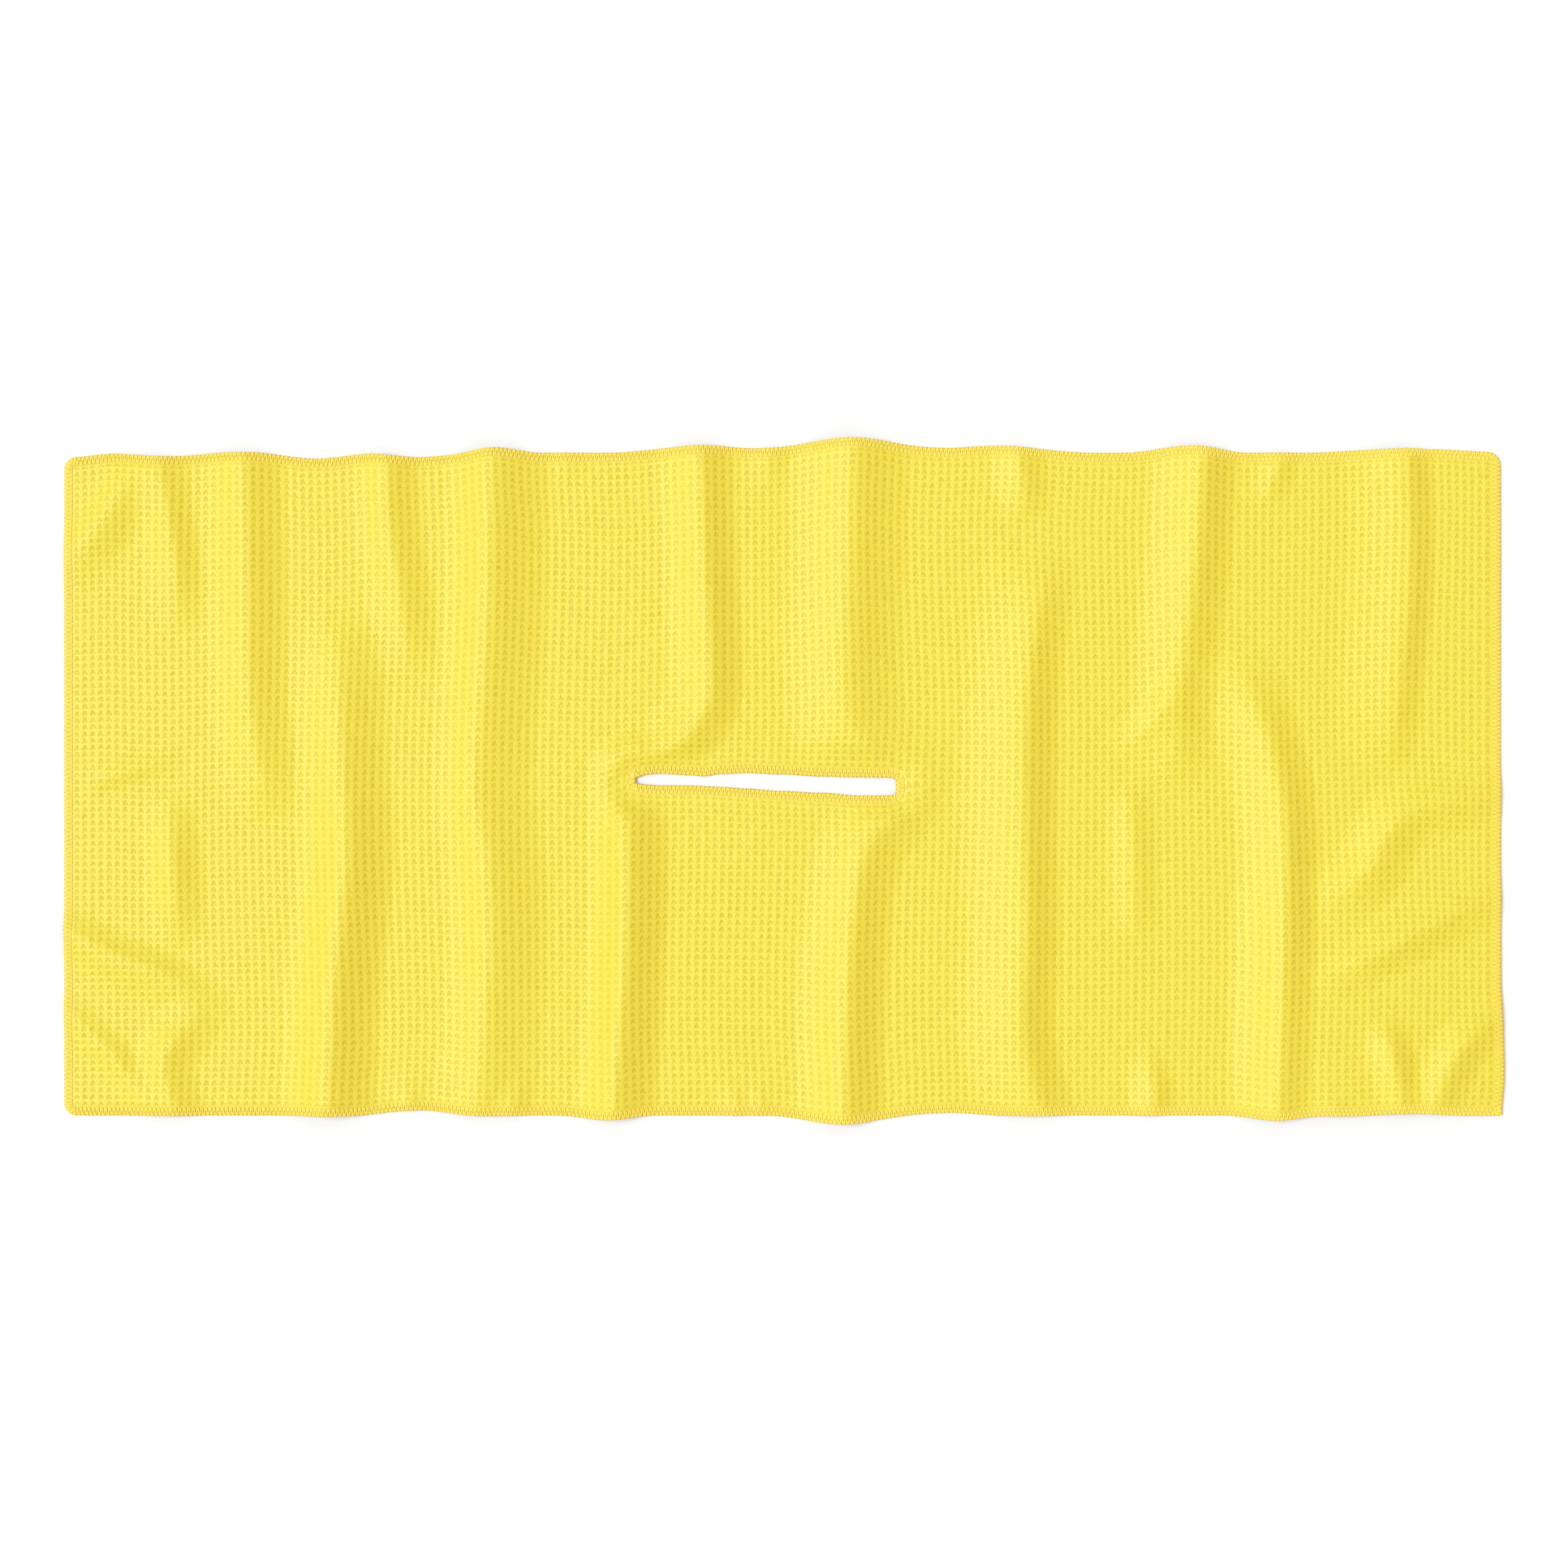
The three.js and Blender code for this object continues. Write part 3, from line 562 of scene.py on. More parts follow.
rise = np.gradient(height(X, Y), axis=0) / np.gradient(X, axis=0)
left_flank = smooth_step(rise / DRAWN_RISE)  # 1 up the left flank of a fold, which faces the key light and where the cloth is pulled tight
depth = PIT_DEPTH * (1 - DRAWN_FLAT * left_flank)
pressed = SEAM_CLOTH_THICKNESS / 2 * (1 - free)
top_offset = (CLOTH_THICKNESS / 2 - depth * pits(0.0)) * free + pressed
under_offset = (CLOTH_THICKNESS / 2 - depth * pits(0.5)) * free + pressed
print("thinnest cloth:", round(float((top_offset + under_offset).min()) / MM, 2), "mm")

# %% [markdown]
# ## The cloth
#
# The middle of the sheet is lifted to its height, and each face stands off it along the direction square
# to the sheet. The two faces are joined by a wall along every cut edge, so the cloth is one closed body
# with a real thickness.

# %% Points of the two faces
Z = height(X, Y) + MID_HEIGHT
middle = np.stack([X, Y + SHIFT_Y, Z], axis=-1)
d_column = np.gradient(middle, axis=0)
d_row = np.gradient(middle, axis=1)
square = np.cross(d_column, d_row)
square /= np.linalg.norm(square, axis=-1, keepdims=True)
top_face = middle + square * top_offset[..., None]
under_face = middle - square * under_offset[..., None]
print("highest point of the cloth:", round(float(top_face[..., 2].max()) / MM, 1), "mm")

# %% Faces of the two sides
count = COLUMNS * ROWS
number = np.arange(count).reshape(COLUMNS, ROWS)
cell_i, cell_j = np.meshgrid(np.arange(COLUMNS - 1), np.arange(ROWS - 1), indexing="ij")
open_slot = (cell_i >= SLOT_FIRST) & (cell_i < SLOT_LAST) & (cell_j >= SLOT_LOW) & (cell_j < SLOT_HIGH)
ci, cj = cell_i[~open_slot], cell_j[~open_slot]
top_quads = np.column_stack([number[ci, cj], number[ci + 1, cj], number[ci + 1, cj + 1], number[ci, cj + 1]])
under_quads = top_quads[:, ::-1] + count
print(len(top_quads), "faces on each side")

# %% Walls along the cut edges
def numbers_of(places):
    """The point numbers of a list of grid places."""
    return np.array([number[i, j] for i, j in places])


last_i, last_j = COLUMNS - 1, ROWS - 1
outer_loop = numbers_of(
    [(i, 0) for i in range(last_i)]
    + [(last_i, j) for j in range(last_j)]
    + [(i, last_j) for i in range(last_i, 0, -1)]
    + [(0, j) for j in range(last_j, 0, -1)]
)
slot_loop = numbers_of(
    [(i, SLOT_HIGH) for i in range(SLOT_FIRST, SLOT_LAST)]
    + [(SLOT_LAST, j) for j in range(SLOT_HIGH, SLOT_LOW, -1)]
    + [(i, SLOT_LOW) for i in range(SLOT_LAST, SLOT_FIRST, -1)]
    + [(SLOT_FIRST, j) for j in range(SLOT_LOW, SLOT_HIGH)]
)
walls = []
for loop in (outer_loop, slot_loop):
    following = np.roll(loop, -1)
    walls.append(np.column_stack([loop, loop + count, following + count, following]))
quads = np.vstack([top_quads, under_quads, *walls])
print(len(outer_loop), "wall faces round the towel and", len(slot_loop), "round the slit")

# %% The cloth's mesh
def mesh_from(name, vertices, quads):
    """A mesh object of four-sided faces, made from arrays."""
    mesh = bpy.data.meshes.new(name)
    mesh.vertices.add(len(vertices))
    mesh.vertices.foreach_set("co", np.ascontiguousarray(vertices, np.float32).ravel())
    mesh.loops.add(quads.size)
    mesh.loops.foreach_set("vertex_index", quads.astype(np.int32).ravel())
    mesh.polygons.add(len(quads))
    mesh.polygons.foreach_set("loop_start", np.arange(0, quads.size, 4, dtype=np.int32))
    mesh.polygons.foreach_set("use_smooth", np.ones(len(quads), bool))
    mesh.update(calc_edges=True)
    mesh.validate()
    obj = bpy.data.objects.new(name, mesh)
    bpy.context.scene.collection.objects.link(obj)
    return obj


vertices = np.vstack([top_face.reshape(-1, 3), under_face.reshape(-1, 3)])
used = np.unique(quads)
renumber = np.full(2 * count, -1)
renumber[used] = np.arange(len(used))
cloth = mesh_from("waffle_cloth_laid", vertices[used], renumber[quads])
print("cloth:", len(used), "points,", len(quads), "faces")

# %% [markdown]
# Two maps go with the cloth. "Weave" counts waffle cells, so that colours can follow the pits of each face.
# "OFBake" is a plain unrolled map, the top above the underside, in which nothing overlaps.

# %% Maps of the cloth
MARGIN = 0.012  # clear space round each face's share of the map
WALL_STRIP = 0.0015  # how wide a wall is on the map
ON_SIDE = 0.999  # an edge point this near the edge of its face's box lies on that side of it

flat_u = (X + END) / (2 * END)
flat_v = (Y - bottom_edge(X)) / (top_edge(X) - bottom_edge(X))
bake_top = np.stack([MARGIN + (1 - 2 * MARGIN) * flat_u, 0.5 + MARGIN + (0.5 - 2 * MARGIN) * flat_v], axis=-1)
bake_under = np.stack([bake_top[..., 0], bake_top[..., 1] - 0.5], axis=-1)
weave_top = np.stack(np.broadcast_arrays(column[:, None] / STEPS, row[None, :] / STEPS), axis=-1)
weave_under = weave_top + 0.5
bake = np.vstack([bake_top.reshape(-1, 2), bake_under.reshape(-1, 2)])
weave = np.vstack([weave_top.reshape(-1, 2), weave_under.reshape(-1, 2)])


def wall_strip(loop, sign):
    """The map of the wall along a cut edge: a thin strip outside the edge for 1, inside it for -1."""
    here = bake[loop]
    away = here - here.mean(axis=0)
    half = np.abs(away).max(axis=0)
    side = np.where(np.abs(away / half) > ON_SIDE, np.sign(away), 0.0) * sign
    pushed = here + WALL_STRIP * side
    following = np.roll(np.arange(len(loop)), -1)
    return np.stack([here, pushed, pushed[following], here[following]], axis=1)


bake_loops = bake[quads]
weave_loops = weave[quads]
first = len(top_quads) + len(under_quads)
for loop, sign in ((outer_loop, 1), (slot_loop, -1)):
    last = first + len(loop)
    bake_loops[first:last] = wall_strip(loop, sign)
    # a wall takes its weave from the edge of the top face
    weave_loops[first:last, 1] = weave_loops[first:last, 0]
    weave_loops[first:last, 2] = weave_loops[first:last, 3]
    first = last

for name, values in (("OFBake", bake_loops), ("Weave", weave_loops)):
    layer = cloth.data.uv_layers.new(name=name)
    layer.uv.foreach_set("vector", np.ascontiguousarray(values, np.float32).ravel())
print("maps:", [layer.name for layer in cloth.data.uv_layers])

# %% [markdown]
# The colours also need to know where the cloth lies free of the seam, and how deep each pit still is, with
# its painted shade lightened up the left flanks of the folds, which face the key light. Both are stored at
# the points of the mesh, so they stay right whatever the view.

# %% What the colours need to know
LIT_FLANK_SHADE_FADE = 0.35  # how much of its painted shade a pit loses up the lit left flank of a fold, as painted light
# the second value lightens the pits' painted shade up the left flanks of the folds, where the key light falls
for name, values in (("free_cloth", free), ("pit_depth", free * (1 - LIT_FLANK_SHADE_FADE * left_flank))):
    layer = cloth.data.attributes.new(name, "FLOAT", "POINT")
    layer.data.foreach_set("value", np.tile(values.ravel(), 2)[used].astype(np.float32))
print("share of the cloth pulled tight:", round(float((left_flank > 0.5).mean()), 3))

# %% [markdown]
# ## The seam's path
#
# An overlock machine trims the cloth and binds the cut edge in one pass. Its stitches are evenly spaced
# along the edge, so the path is measured out in equal steps. A curve with an array of stitches on it would
# stretch them at the corners; here each point of a stitch is placed by itself. That needs three directions
# at each step: on along the edge, inwards over the cloth, and square to it.

# %% Paths along the cut edges
STITCH = 2.9 * MM
SLIT_SEAM_START = 40  # the slit's seam starts a quarter of the way along the upper lip


def resample(path, step):
    """Equally spaced points along a path, about step apart."""
    along = np.concatenate([[0], np.cumsum(np.hypot(*np.diff(path, axis=0).T))])
    at = np.linspace(0, along[-1], round(along[-1] / step) + 1)
    return np.column_stack([np.interp(at, along, path[:, 0]), np.interp(at, along, path[:, 1])])


def closed_from(loop, start):
    """The loop opened at the given point, and run round to it again."""
    turned = np.roll(loop, -start, axis=0)
    return np.vstack([turned, turned[:1]])


edge_loop = np.column_stack([X.reshape(-1)[outer_loop], Y.reshape(-1)[outer_loop]])
outer_path = closed_from(edge_loop, last_i)  # from the square corner, where the seam starts and ends
slit_path = closed_from(slit_outline(), SLIT_SEAM_START)
print(len(outer_path), "points round the towel and", len(slit_path), "round the slit")

# %% Places by stitch number
class SeamPath:
    """A cut edge, asked for places by stitch number, mm inwards and mm above the middle of the cloth."""

    FINE = 0.5 * MM  # the spacing of the points that the path is held as
    TURN = 3  # the direction is evened out over this many steps either way, so corners turn softly
    SLOPE_STEP = 0.4 * MM  # the slope of the cloth is taken over this much either way

    def __init__(self, path):
        line = resample(path, self.FINE)
        ahead = np.gradient(line, axis=0)
        window = 2 * self.TURN + 1
        kernel = np.ones(window) / window
        padded = np.vstack([np.repeat(ahead[:1], self.TURN, 0), ahead, np.repeat(ahead[-1:], self.TURN, 0)])
        ahead = np.column_stack([np.convolve(padded[:, k], kernel, "valid") for k in (0, 1)])
        ahead /= np.linalg.norm(ahead, axis=1, keepdims=True)
        self.line = line
        self.ahead = ahead
        step = np.hypot(*np.diff(line, axis=0).T).sum() / (len(line) - 1)
        self.at = np.arange(len(line)) * step
        self.length = self.at[-1]
        self.stitches = round(self.length / STITCH)
        self.pitch = self.length / self.stitches

    def place(self, stitch, inward, above):
        """World positions for arrays of stitch numbers, inward and above distances."""
        s = np.mod(stitch * self.pitch, self.length)
        base = np.column_stack([np.interp(s, self.at, self.line[:, k]) for k in (0, 1)])
        ahead = np.column_stack([np.interp(s, self.at, self.ahead[:, k]) for k in (0, 1)])
        ahead /= np.linalg.norm(ahead, axis=1, keepdims=True)
        inwards = np.column_stack([-ahead[:, 1], ahead[:, 0]])
        flat = base + inwards * inward[:, None]
        x, y = flat[:, 0], flat[:, 1]
        z = height(x, y)
        d = self.SLOPE_STEP
        slope_x = (height(x + d, y) - height(x - d, y)) / (2 * d)
        slope_y = (height(x, y + d) - height(x, y - d)) / (2 * d)
        up = np.column_stack([-slope_x, -slope_y, np.ones(len(x))])
        up /= np.linalg.norm(up, axis=1, keepdims=True)
        return np.column_stack([x, y + SHIFT_Y, z + MID_HEIGHT]) + up * above[:, None]


edge_seam = SeamPath(outer_path)
slit_seam = SeamPath(slit_path)
print("stitches round the edge:", edge_seam.stitches, "and round the slit:", slit_seam.stitches)

# %% [markdown]
# ## The three threads
#
# In a three-thread overlock the needle thread runs in short stitches along the inner side. The upper
# looper thread goes to and fro over the top of the cloth, from the needle line to the rim, and the lower
# looper does the same underneath. The two loopers hook into each other along the rim and hide the cut edge
# completely. A ribbon with a stitch pattern would look right only from far off, so each thread here is one
# long tube swept along its true path. A frame carried along the path keeps the tube from twisting.

# %% Sweep a tube along a thread
LOOPER_RADIUS = 0.54 * MM
NEEDLE_RADIUS = 0.30 * MM
TUBE_SIDES = 6  # an even number, for the caps


def tube(name, centres, radius):
    """A tube of round section along the centres, closed at both ends."""
    tangent = np.gradient(centres, axis=0)
    tangent /= np.linalg.norm(tangent, axis=1, keepdims=True)
    side = np.empty_like(tangent)
    current = np.cross(tangent[0], (0.0, 0.0, 1.0))
    for k, t in enumerate(tangent):
        current = current - t * float(current @ t)
        current = current / math.sqrt(float(current @ current))
        side[k] = current
    other = np.cross(tangent, side)
    angle = np.arange(TUBE_SIDES) * 2 * math.pi / TUBE_SIDES
    ring = side[:, None, :] * np.cos(angle)[None, :, None] + other[:, None, :] * np.sin(angle)[None, :, None]
    body = centres[:, None, :] + ring * radius
    # the skin, ring by ring, and then a cap of four-sided faces on each end
    n = len(centres)
    index = np.arange(n * TUBE_SIDES).reshape(n, TUBE_SIDES)
    turned = np.roll(index, -1, axis=1)
    skin = np.stack([index[:-1], turned[:-1], turned[1:], index[1:]], axis=-1).reshape(-1, 4)
    first_tip, last_tip = n * TUBE_SIDES, n * TUBE_SIDES + 1
    caps = []
    for k in range(0, TUBE_SIDES, 2):
        beyond = (k + 2) % TUBE_SIDES
        caps.append([first_tip, index[0, beyond], index[0, k + 1], index[0, k]])
        caps.append([last_tip, index[-1, k], index[-1, k + 1], index[-1, beyond]])
    points = np.vstack([body.reshape(-1, 3), centres[0], centres[-1]])
    return mesh_from(name, points, np.vstack([skin, np.array(caps)]))


print("looper yarn", round(2 * LOOPER_RADIUS / MM, 2), "mm thick")
print("needle thread", round(2 * NEEDLE_RADIUS / MM, 2), "mm thick")

# %% [markdown]
# One stitch of a looper, as a short list of places: how far along the stitch, how far inwards from the cut
# edge, and how far above the middle of the cloth. It starts on the rim, climbs over the edge, slants in to
# the needle line, turns there and comes back. The lower looper is the same list upside down, half a stitch
# later, which is where the two hook into each other.

# %% One stitch of each thread
LOOPER_STITCH = [  # stitch, mm inwards, mm above
    (0.00, -0.38, 0.00),
    (0.05, -0.22, 0.52),
    (0.13, 0.45, 0.84),
    (0.30, 2.40, 0.88),
    (0.50, 4.50, 0.86),
    (0.62, 5.05, 0.80),
    (0.68, 4.40, 0.86),
    (0.78, 2.20, 0.88),
    (0.90, 0.35, 0.84),
    (0.96, -0.24, 0.50),
]
NEEDLE_STITCH = [
    (0.00, 5.00, 0.35),
    (0.14, 4.98, 1.00),
    (0.50, 4.95, 1.18),
    (0.86, 4.98, 1.00),
]
NEEDLE_LINE = 5  # mm inwards
WOBBLE_IN = 0.10  # mm inwards or outwards at the needle line, and less towards the rim
WOBBLE_ALONG = 0.03  # of a stitch
UPSIDE_DOWN = -1
HALF_A_STITCH = 0.5
print(len(LOOPER_STITCH), "places to a looper's stitch and", len(NEEDLE_STITCH), "to the needle thread's")

# %% The six threads
def repeat(stitch_list, count, start):
    """The list over and over, one stitch on each time, with slight unevenness."""
    one = np.array(stitch_list)
    run = np.tile(one, (count, 1))
    run[:, 0] += np.repeat(np.arange(count), len(one)) + start
    wobble = np.repeat(rng.normal(0, 1, (count, 2)), len(one), axis=0)
    run[:, 1] += WOBBLE_IN * wobble[:, 0] * np.clip(run[:, 1] / NEEDLE_LINE, 0, 1)
    run[:, 0] += WOBBLE_ALONG * wobble[:, 1]
    return run


def thread(name, seam, stitch_list, radius, face=1, start=0.0):
    """One thread of a seam, from its list of places for one stitch."""
    run = repeat(stitch_list, seam.stitches, start)
    centres = seam.place(run[:, 0], run[:, 1] * MM, run[:, 2] * face * MM)
    return tube(name, centres, radius)


seam_threads = []
for place, seam in (("edge", edge_seam), ("slit", slit_seam)):
    seam_threads += [
        thread(f"{place}_needle_stitches", seam, NEEDLE_STITCH, NEEDLE_RADIUS),
        thread(f"{place}_upper_looper_stitches", seam, LOOPER_STITCH, LOOPER_RADIUS),
        thread(
            f"{place}_lower_looper_stitches", seam, LOOPER_STITCH, LOOPER_RADIUS, UPSIDE_DOWN, HALF_A_STITCH
        ),
    ]
for piece in seam_threads:
    print(piece.name, len(piece.data.polygons), "faces")

# %% [markdown]
# ## Materials
#
# The cloth is a matte lemon yellow. The pits are painted a deeper, darker colour: painted shade for the
# light that bounces about and is lost in them. Each patch of painted shade has the shape of a small
# arrowhead, narrow at its top, where the floats close over it. The fibres show as a fine fuzz. A tiled
# picture of the weave would repeat and blur close up, so the pattern is worked out from the cell count
# instead. Node trees get long, so a small class gives short names to the few nodes that are used.

# %% Helpers for node materials
def linear(r, g, b):
    """A colour given as 0 to 255 on screen, as the renderer wants it (the usual sRGB curve undone)."""
    out = []
    for v in (r, g, b):
        c = v / 255
        out.append(c / 12.92 if c <= 0.04045 else ((c + 0.055) / 1.055) ** 2.4)
    return (*out, 1.0)


class Nodes:
    """Short names for adding nodes to a material and joining them up."""

    def __init__(self, name):
        self.material = bpy.data.materials.new(name)
        self.material.use_nodes = True
        self.tree = self.material.node_tree
        self.tree.nodes.clear()
        self.shader = self.tree.nodes.new("ShaderNodeBsdfPrincipled")
        output = self.tree.nodes.new("ShaderNodeOutputMaterial")
        self.join(self.shader.outputs["BSDF"], output.inputs["Surface"])

    def join(self, source, socket):
        self.tree.links.new(source, socket)

    def feed(self, socket, value):
        if isinstance(value, bpy.types.NodeSocket):
            self.join(value, socket)
        else:
            socket.default_value = value

    def math(self, operation, a, b=0.0, clamp=False):
        node = self.tree.nodes.new("ShaderNodeMath")
        node.operation = operation
        node.use_clamp = clamp
        self.feed(node.inputs[0], a)
        self.feed(node.inputs[1], b)
        return node.outputs[0]

    def mix(self, share, a, b):
        node = self.tree.nodes.new("ShaderNodeMix")
        node.data_type = "RGBA"
        self.feed(node.inputs["Factor"], share)
        self.feed(node.inputs["A"], a)
        self.feed(node.inputs["B"], b)
        return node.outputs["Result"]

    def noise(self, scale, detail=2.0):
        node = self.tree.nodes.new("ShaderNodeTexNoise")
        node.inputs["Scale"].default_value = scale
        node.inputs["Detail"].default_value = detail
        places = self.tree.nodes.new("ShaderNodeTexCoord")
        self.join(places.outputs["Object"], node.inputs["Vector"])
        return node.outputs["Fac"]

    def attribute(self, name):
        node = self.tree.nodes.new("ShaderNodeAttribute")
        node.attribute_name = name
        return node.outputs["Fac"]

    def bump(self, height, distance, strength):
        node = self.tree.nodes.new("ShaderNodeBump")
        node.inputs["Strength"].default_value = strength
        node.inputs["Distance"].default_value = distance
        self.join(height, node.inputs["Height"])
        return node.outputs["Normal"]


print("mid grey on screen is", round(linear(128, 128, 128)[0], 3), "to the renderer")

# %% [markdown]
# A pit's arrowhead is two slanting strokes that meet at the head of the cell, with a shallower hollow
# between them. Each stroke is strongest on its own line and fades on both sides of it. The place in the
# cell is first shifted by noise, as fibres stray, and the finished pit is made patchy. The arrowhead sets
# both the bump of the pits and their painted shade.

# %% The arrowhead in each cell
STRAY = 0.5  # how far the outline of a pit strays, in cells
STRAY_SCALE_X = 460
STRAY_SCALE_Y = 520
STROKES_MEET = 0.95  # how far up the cell, from 0 to 1
STROKES_PART = 0.38  # how far from the middle each stroke would be a whole cell below that
STROKE_FADE = 7.0  # the larger, the thinner the strokes
HOLLOW_FADE = 8.0
HOLLOW_DEPTH = 0.5
FOOT = 0.18  # the strokes start here
FOOT_FADE = 5.0
HEAD_FADE = 8.0
PATCH_SCALE = 260
PATCH_GAIN = 1.4
PATCH_LEAST = 0.2


def arrowhead_relief_and_shade(n):
    """How deep in a pit each place is, from 0 on the walls to 1; it sets both the bump and the painted shade
    of the pits.
    """
    uv = n.tree.nodes.new("ShaderNodeUVMap")
    uv.uv_map = "Weave"
    cell = n.tree.nodes.new("ShaderNodeSeparateXYZ")
    n.join(uv.outputs["UV"], cell.inputs[0])
    stray_x = n.math("MULTIPLY", n.math("SUBTRACT", n.noise(STRAY_SCALE_X), 0.5), STRAY)
    stray_y = n.math("MULTIPLY", n.math("SUBTRACT", n.noise(STRAY_SCALE_Y), 0.5), STRAY)
    cell_x = n.math("ADD", cell.outputs["X"], stray_x)
    cell_y = n.math("ADD", cell.outputs["Y"], stray_y)
    across = n.math("ABSOLUTE", n.math("SUBTRACT", n.math("FRACT", cell_x), 0.5))
    up = n.math("FRACT", cell_y)
    stroke_at = n.math("MULTIPLY", n.math("SUBTRACT", STROKES_MEET, up), STROKES_PART)
    off_stroke = n.math("SUBTRACT", across, stroke_at)
    faded = n.math("MULTIPLY", n.math("ABSOLUTE", off_stroke), STROKE_FADE)
    stroke = n.math("SUBTRACT", 1.0, faded, clamp=True)
    hollow = n.math("MULTIPLY", n.math("MULTIPLY", off_stroke, -HOLLOW_FADE, clamp=True), HOLLOW_DEPTH)
    foot = n.math("MULTIPLY", n.math("SUBTRACT", up, FOOT), FOOT_FADE, clamp=True)
    head = n.math("MULTIPLY", n.math("SUBTRACT", 1.0, up), HEAD_FADE, clamp=True)
    pit_and_shade = n.math("MULTIPLY", n.math("MAXIMUM", stroke, hollow), n.math("MULTIPLY", foot, head))
    patchy = n.math("ADD", n.math("MULTIPLY", n.noise(PATCH_SCALE), PATCH_GAIN), PATCH_LEAST)
    pit_and_shade = n.math("MULTIPLY", pit_and_shade, patchy, clamp=True)
    # the stored pit depth lightens this painted shade up the left flanks of the folds, which face the key
    # light
    return n.math("MULTIPLY", pit_and_shade, n.attribute("pit_depth"))


feet = STROKES_PART * (STROKES_MEET - FOOT)
print("the feet of the strokes stand", round(feet, 2), "of a cell either side of its middle")

# %% The cloth's colour
WALL_COLOUR = linear(238, 222, 64)
# the pit colour is painted shade: the recesses are painted darker and more golden than the walls
PAINTED_PIT_SHADE = linear(213, 188, 4)
SEAM_COLOUR = linear(243, 222, 84)
TINT_COLOUR = linear(232, 214, 66)
TINT_SCALE = 9  # broad patches, a hand wide
TINT_SHARE = 0.5
FLECK_COLOUR = linear(244, 230, 96)
FLECK_SCALE = 1100  # tufts of about a millimetre
FLECK_FROM = 0.42
FLECK_GAIN = 2.2
FLECK_SHARE = 0.4


def cloth_colour(n, pit_and_shade):
    """The colour of the walls, the painted shade of the pits and the colour of the seam, with broad tints and
    fine flecks over them.
    """
    # painted shade: the pit mask darkens the wall colour towards the pit colour
    colour = n.mix(pit_and_shade, WALL_COLOUR, PAINTED_PIT_SHADE)
    colour = n.mix(n.attribute("free_cloth"), SEAM_COLOUR, colour)
    tint = n.math("SUBTRACT", n.noise(TINT_SCALE, 3.0), 0.5)
    colour = n.mix(n.math("MULTIPLY", tint, TINT_SHARE, clamp=True), colour, TINT_COLOUR)
    fleck = n.math("SUBTRACT", n.noise(FLECK_SCALE), FLECK_FROM)
    fleck = n.math("MULTIPLY", fleck, FLECK_GAIN, clamp=True)
    return n.mix(n.math("MULTIPLY", fleck, FLECK_SHARE), colour, FLECK_COLOUR)


print("the pits have", round(PAINTED_PIT_SHADE[0] / WALL_COLOUR[0], 2), "of the walls' red")

# %% The cloth's material
FUZZ_SCALE = 1500
FUZZ_HEIGHT = 0.3  # as a share of the bump's depth
BUMP_DEPTH = 0.5 * MM
BUMP_STRENGTH = 0.5
SMOOTHEST = 0.45  # roughness where the fuzz lies flat
FUZZ_ROUGHNESS = 0.15


def cloth_material():
    n = Nodes("waffle_microfibre")
    pit_and_shade = arrowhead_relief_and_shade(n)
    # the pit mask paints shade into the base colour, and also drives the bump below
    n.join(cloth_colour(n, pit_and_shade), n.shader.inputs["Base Color"])
    fuzz = n.noise(FUZZ_SCALE, 3.0)
    roughness = n.math("ADD", n.math("MULTIPLY", fuzz, FUZZ_ROUGHNESS), SMOOTHEST)
    n.join(roughness, n.shader.inputs["Roughness"])
    surface = n.math("SUBTRACT", n.math("MULTIPLY", fuzz, FUZZ_HEIGHT), pit_and_shade)
    n.join(n.bump(surface, BUMP_DEPTH, BUMP_STRENGTH), n.shader.inputs["Normal"])
    n.shader.inputs["Sheen Weight"].default_value = 0.25
    n.shader.inputs["Sheen Roughness"].default_value = 0.5
    n.shader.inputs["Sheen Tint"].default_value = (1.0, 0.95, 0.6, 1.0)
    n.shader.inputs["Specular IOR Level"].default_value = 0.6
    return n.material


cloth.data.materials.append(cloth_material())
print("the cloth's material has", len(cloth.data.materials[0].node_tree.nodes), "nodes")

# %% [markdown]
# The binding threads are a warmer gold than the cloth. A thread is twisted yarn, so up close it is mottled
# and slightly lumpy rather than smooth. Two noises of different scales give it that, with a little sheen.

# %% The threads' material
YARN_SCALE = 900  # the mottling of the colour
YARN_ROUGHNESS = 0.65
YARN_UNEVEN = 0.2
LUMP_SCALE = 2600
LUMP_HEIGHT = 0.15 * MM
LUMP_STRENGTH = 0.6


def thread_material(name, light, dark):
    n = Nodes(name)
    shade = n.noise(YARN_SCALE)
    n.join(n.mix(shade, light, dark), n.shader.inputs["Base Color"])
    roughness = n.math("ADD", n.math("MULTIPLY", shade, YARN_UNEVEN), YARN_ROUGHNESS)
    n.join(roughness, n.shader.inputs["Roughness"])
    n.join(n.bump(n.noise(LUMP_SCALE), LUMP_HEIGHT, LUMP_STRENGTH), n.shader.inputs["Normal"])
    n.shader.inputs["Sheen Weight"].default_value = 0.2
    n.shader.inputs["Sheen Tint"].default_value = (1.0, 0.9, 0.5, 1.0)
    n.shader.inputs["Specular IOR Level"].default_value = 0.25
    return n.material


YARNS = {
    "needle": thread_material("needle_thread", linear(252, 239, 112), linear(247, 228, 86)),
    "upper": thread_material("upper_looper_thread", linear(253, 238, 110), linear(249, 228, 86)),
    "lower": thread_material("lower_looper_thread", linear(248, 214, 68), linear(238, 192, 44)),
}
for piece in seam_threads:
    kind = piece.name.split("_")[1]
    piece.data.materials.append(YARNS[kind])
    print(piece.name, "is in", YARNS[kind].name)

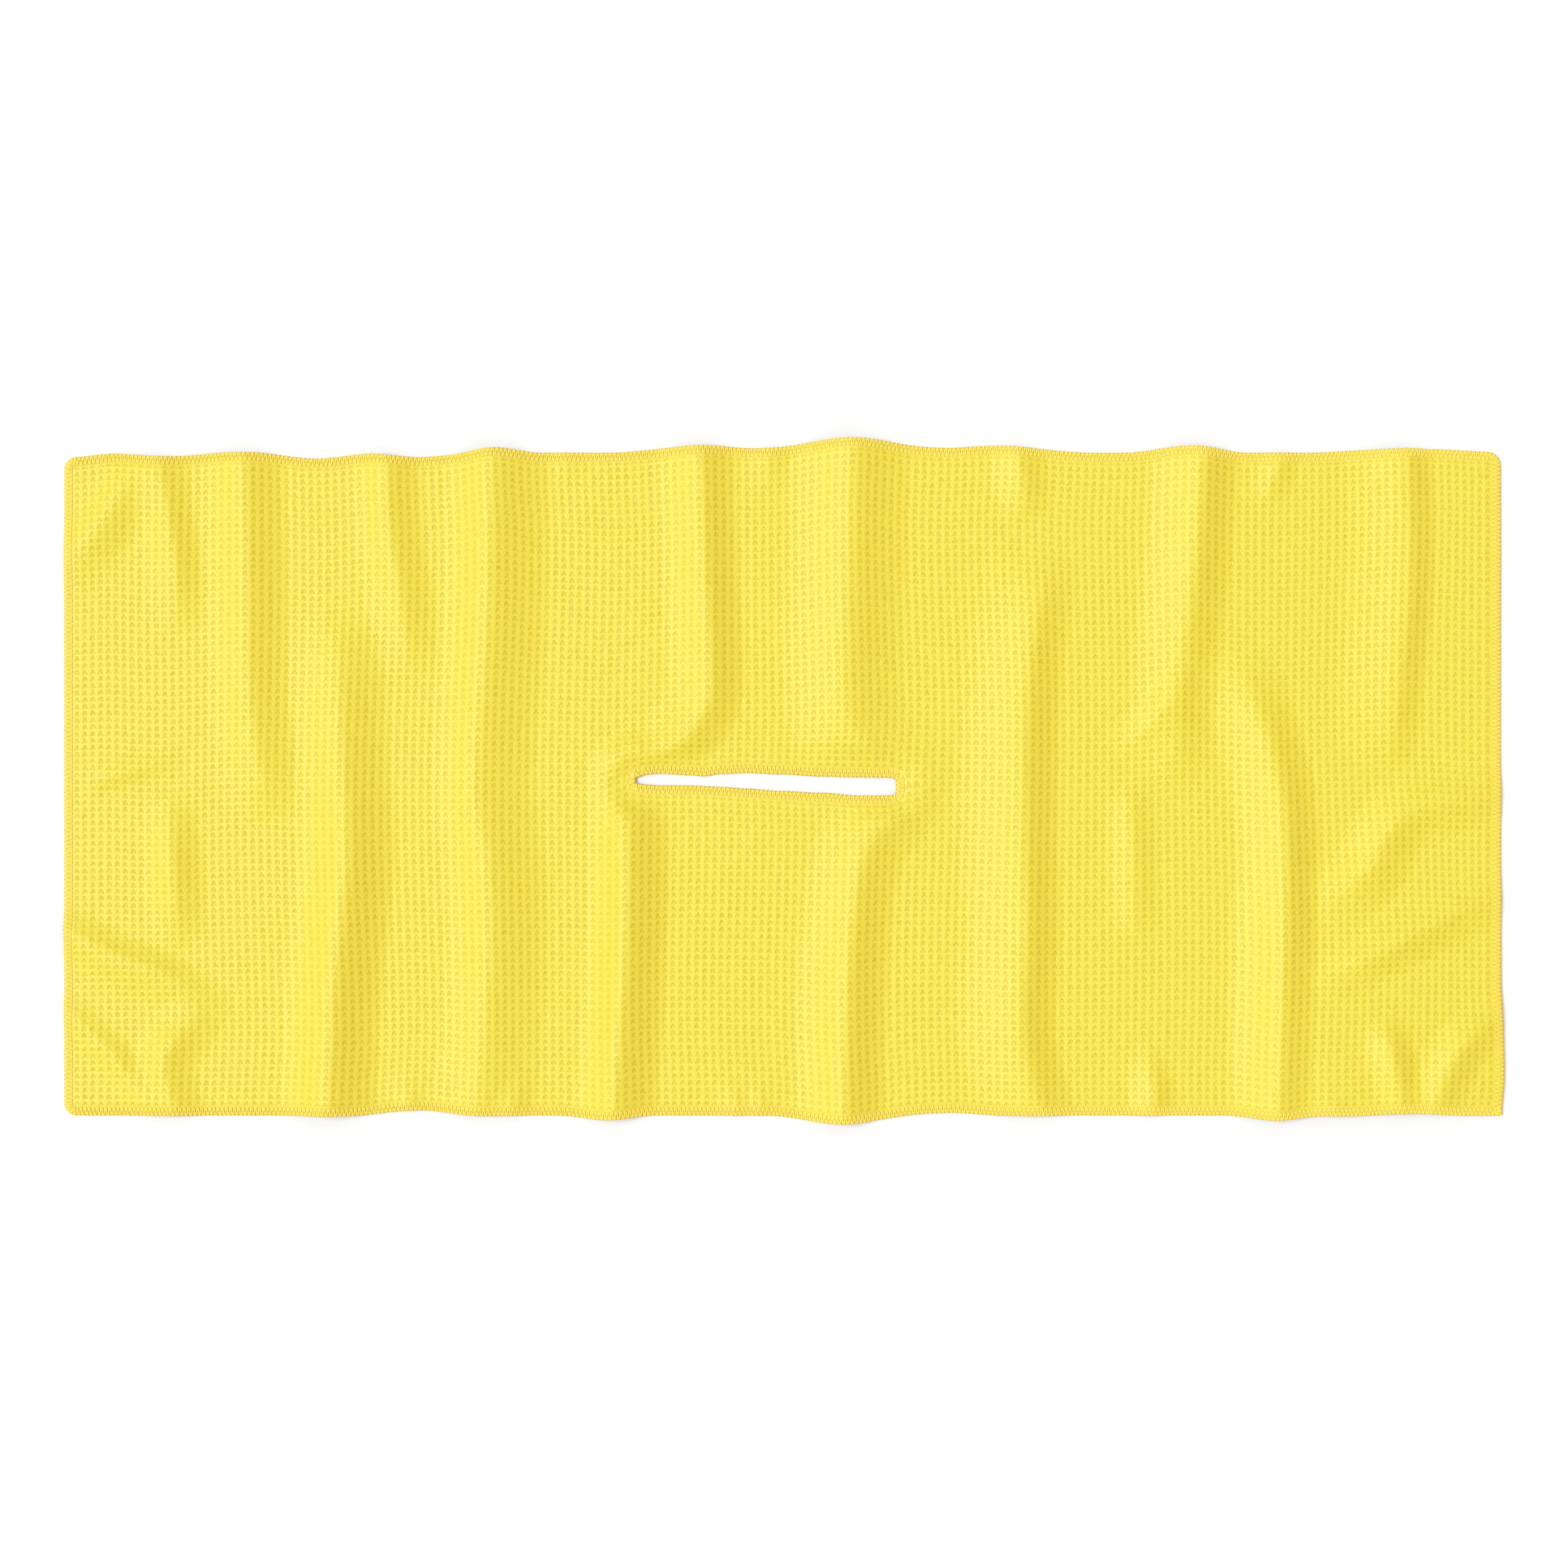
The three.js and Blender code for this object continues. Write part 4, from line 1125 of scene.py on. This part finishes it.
# %% [markdown]
# ## Floor and light
#
# The towel lies on a plain near-white floor. A wide soft light stands high on the left and is slightly
# cool, so each ridge has a pale left flank and a darker right one. The warm sky all round fills in the
# shadows, and a weak warm light from the right keeps the shaded flanks golden. Sun lights are used, not
# area lights, because their light is the same everywhere on a towel a metre long.

# %% Floor
FLOOR_SIZE = 60.0
FLOOR_WHITE = (0.93, 0.93, 0.93, 1)
FLOOR_ROUGHNESS = 0.9

bpy.ops.mesh.primitive_plane_add(size=FLOOR_SIZE, location=(0, 0, 0))
floor = bpy.context.object
floor.name = "floor"
floor_nodes = Nodes("floor_white")
floor_nodes.shader.inputs["Base Color"].default_value = FLOOR_WHITE
floor_nodes.shader.inputs["Roughness"].default_value = FLOOR_ROUGHNESS
floor.data.materials.append(floor_nodes.material)
print("floor", FLOOR_SIZE, "m square")

# %% Lights
KEY_STRENGTH = 1.785
KEY_AZIMUTH = 174  # degrees from +X, so nearly straight from the left
KEY_ELEVATION = 64
KEY_SPREAD = 24  # how many degrees of the sky the light fills
KEY_COLOUR = (0.815, 1.03, 1.36)
FILL_STRENGTH = 0.16
FILL_AZIMUTH = 0
FILL_ELEVATION = 30
FILL_SPREAD = 40
FILL_COLOUR = (1.0, 0.15, 0.0)


def sun_light(name, azimuth, elevation, strength, spread, colour):
    data = bpy.data.lights.new(name, "SUN")
    data.energy = strength
    data.angle = math.radians(spread)
    data.color = colour
    light = bpy.data.objects.new(name, data)
    light.rotation_euler = (0, math.radians(90 - elevation), math.radians(azimuth))
    bpy.context.scene.collection.objects.link(light)
    print(name, "from azimuth", azimuth, "at elevation", elevation)


sun_light("key_light", KEY_AZIMUTH, KEY_ELEVATION, KEY_STRENGTH, KEY_SPREAD, KEY_COLOUR)
sun_light("fill_light", FILL_AZIMUTH, FILL_ELEVATION, FILL_STRENGTH, FILL_SPREAD, FILL_COLOUR)

# %% Sky
SKY_COLOUR = (1.13, 0.97, 0.68, 1)
SKY_STRENGTH = 0.605

world = bpy.data.worlds.new("studio")
bpy.context.scene.world = world
world.use_nodes = True
sky = world.node_tree.nodes["Background"]
sky.inputs["Color"].default_value = SKY_COLOUR
sky.inputs["Strength"].default_value = SKY_STRENGTH
bpy.context.scene.view_settings.view_transform = "Standard"
bpy.context.scene.view_settings.look = "None"
print("sky strength", SKY_STRENGTH)

# %% [markdown]
# ## Tie the pieces to the solid model
# The solid model carries the towel's weight and its touch, and these pieces carry its looks. So each
# visible piece stands for the solid of the same part, which is hidden, and rides on the towel's one body. The
# cloth is declared as a sheet, with its cut size, and its threads
# go with it.

# %% Ride and replace
BODY = "root"
SOLIDS = {
    "edge_needle_stitches": ("edge_needle_thread", "needle_thread"),
    "edge_upper_looper_stitches": ("edge_upper_looper_thread", "upper_looper_thread"),
    "edge_lower_looper_stitches": ("edge_lower_looper_thread", "lower_looper_thread"),
    "slit_needle_stitches": ("slit_needle_thread", "needle_thread"),
    "slit_upper_looper_stitches": ("slit_upper_looper_thread", "upper_looper_thread"),
    "slit_lower_looper_stitches": ("slit_lower_looper_thread", "lower_looper_thread"),
}
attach(cloth, BODY)
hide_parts("waffle_cloth")
for piece in seam_threads:
    solid, slot_name = SOLIDS[piece.name]
    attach(piece, BODY)
    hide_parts(solid)
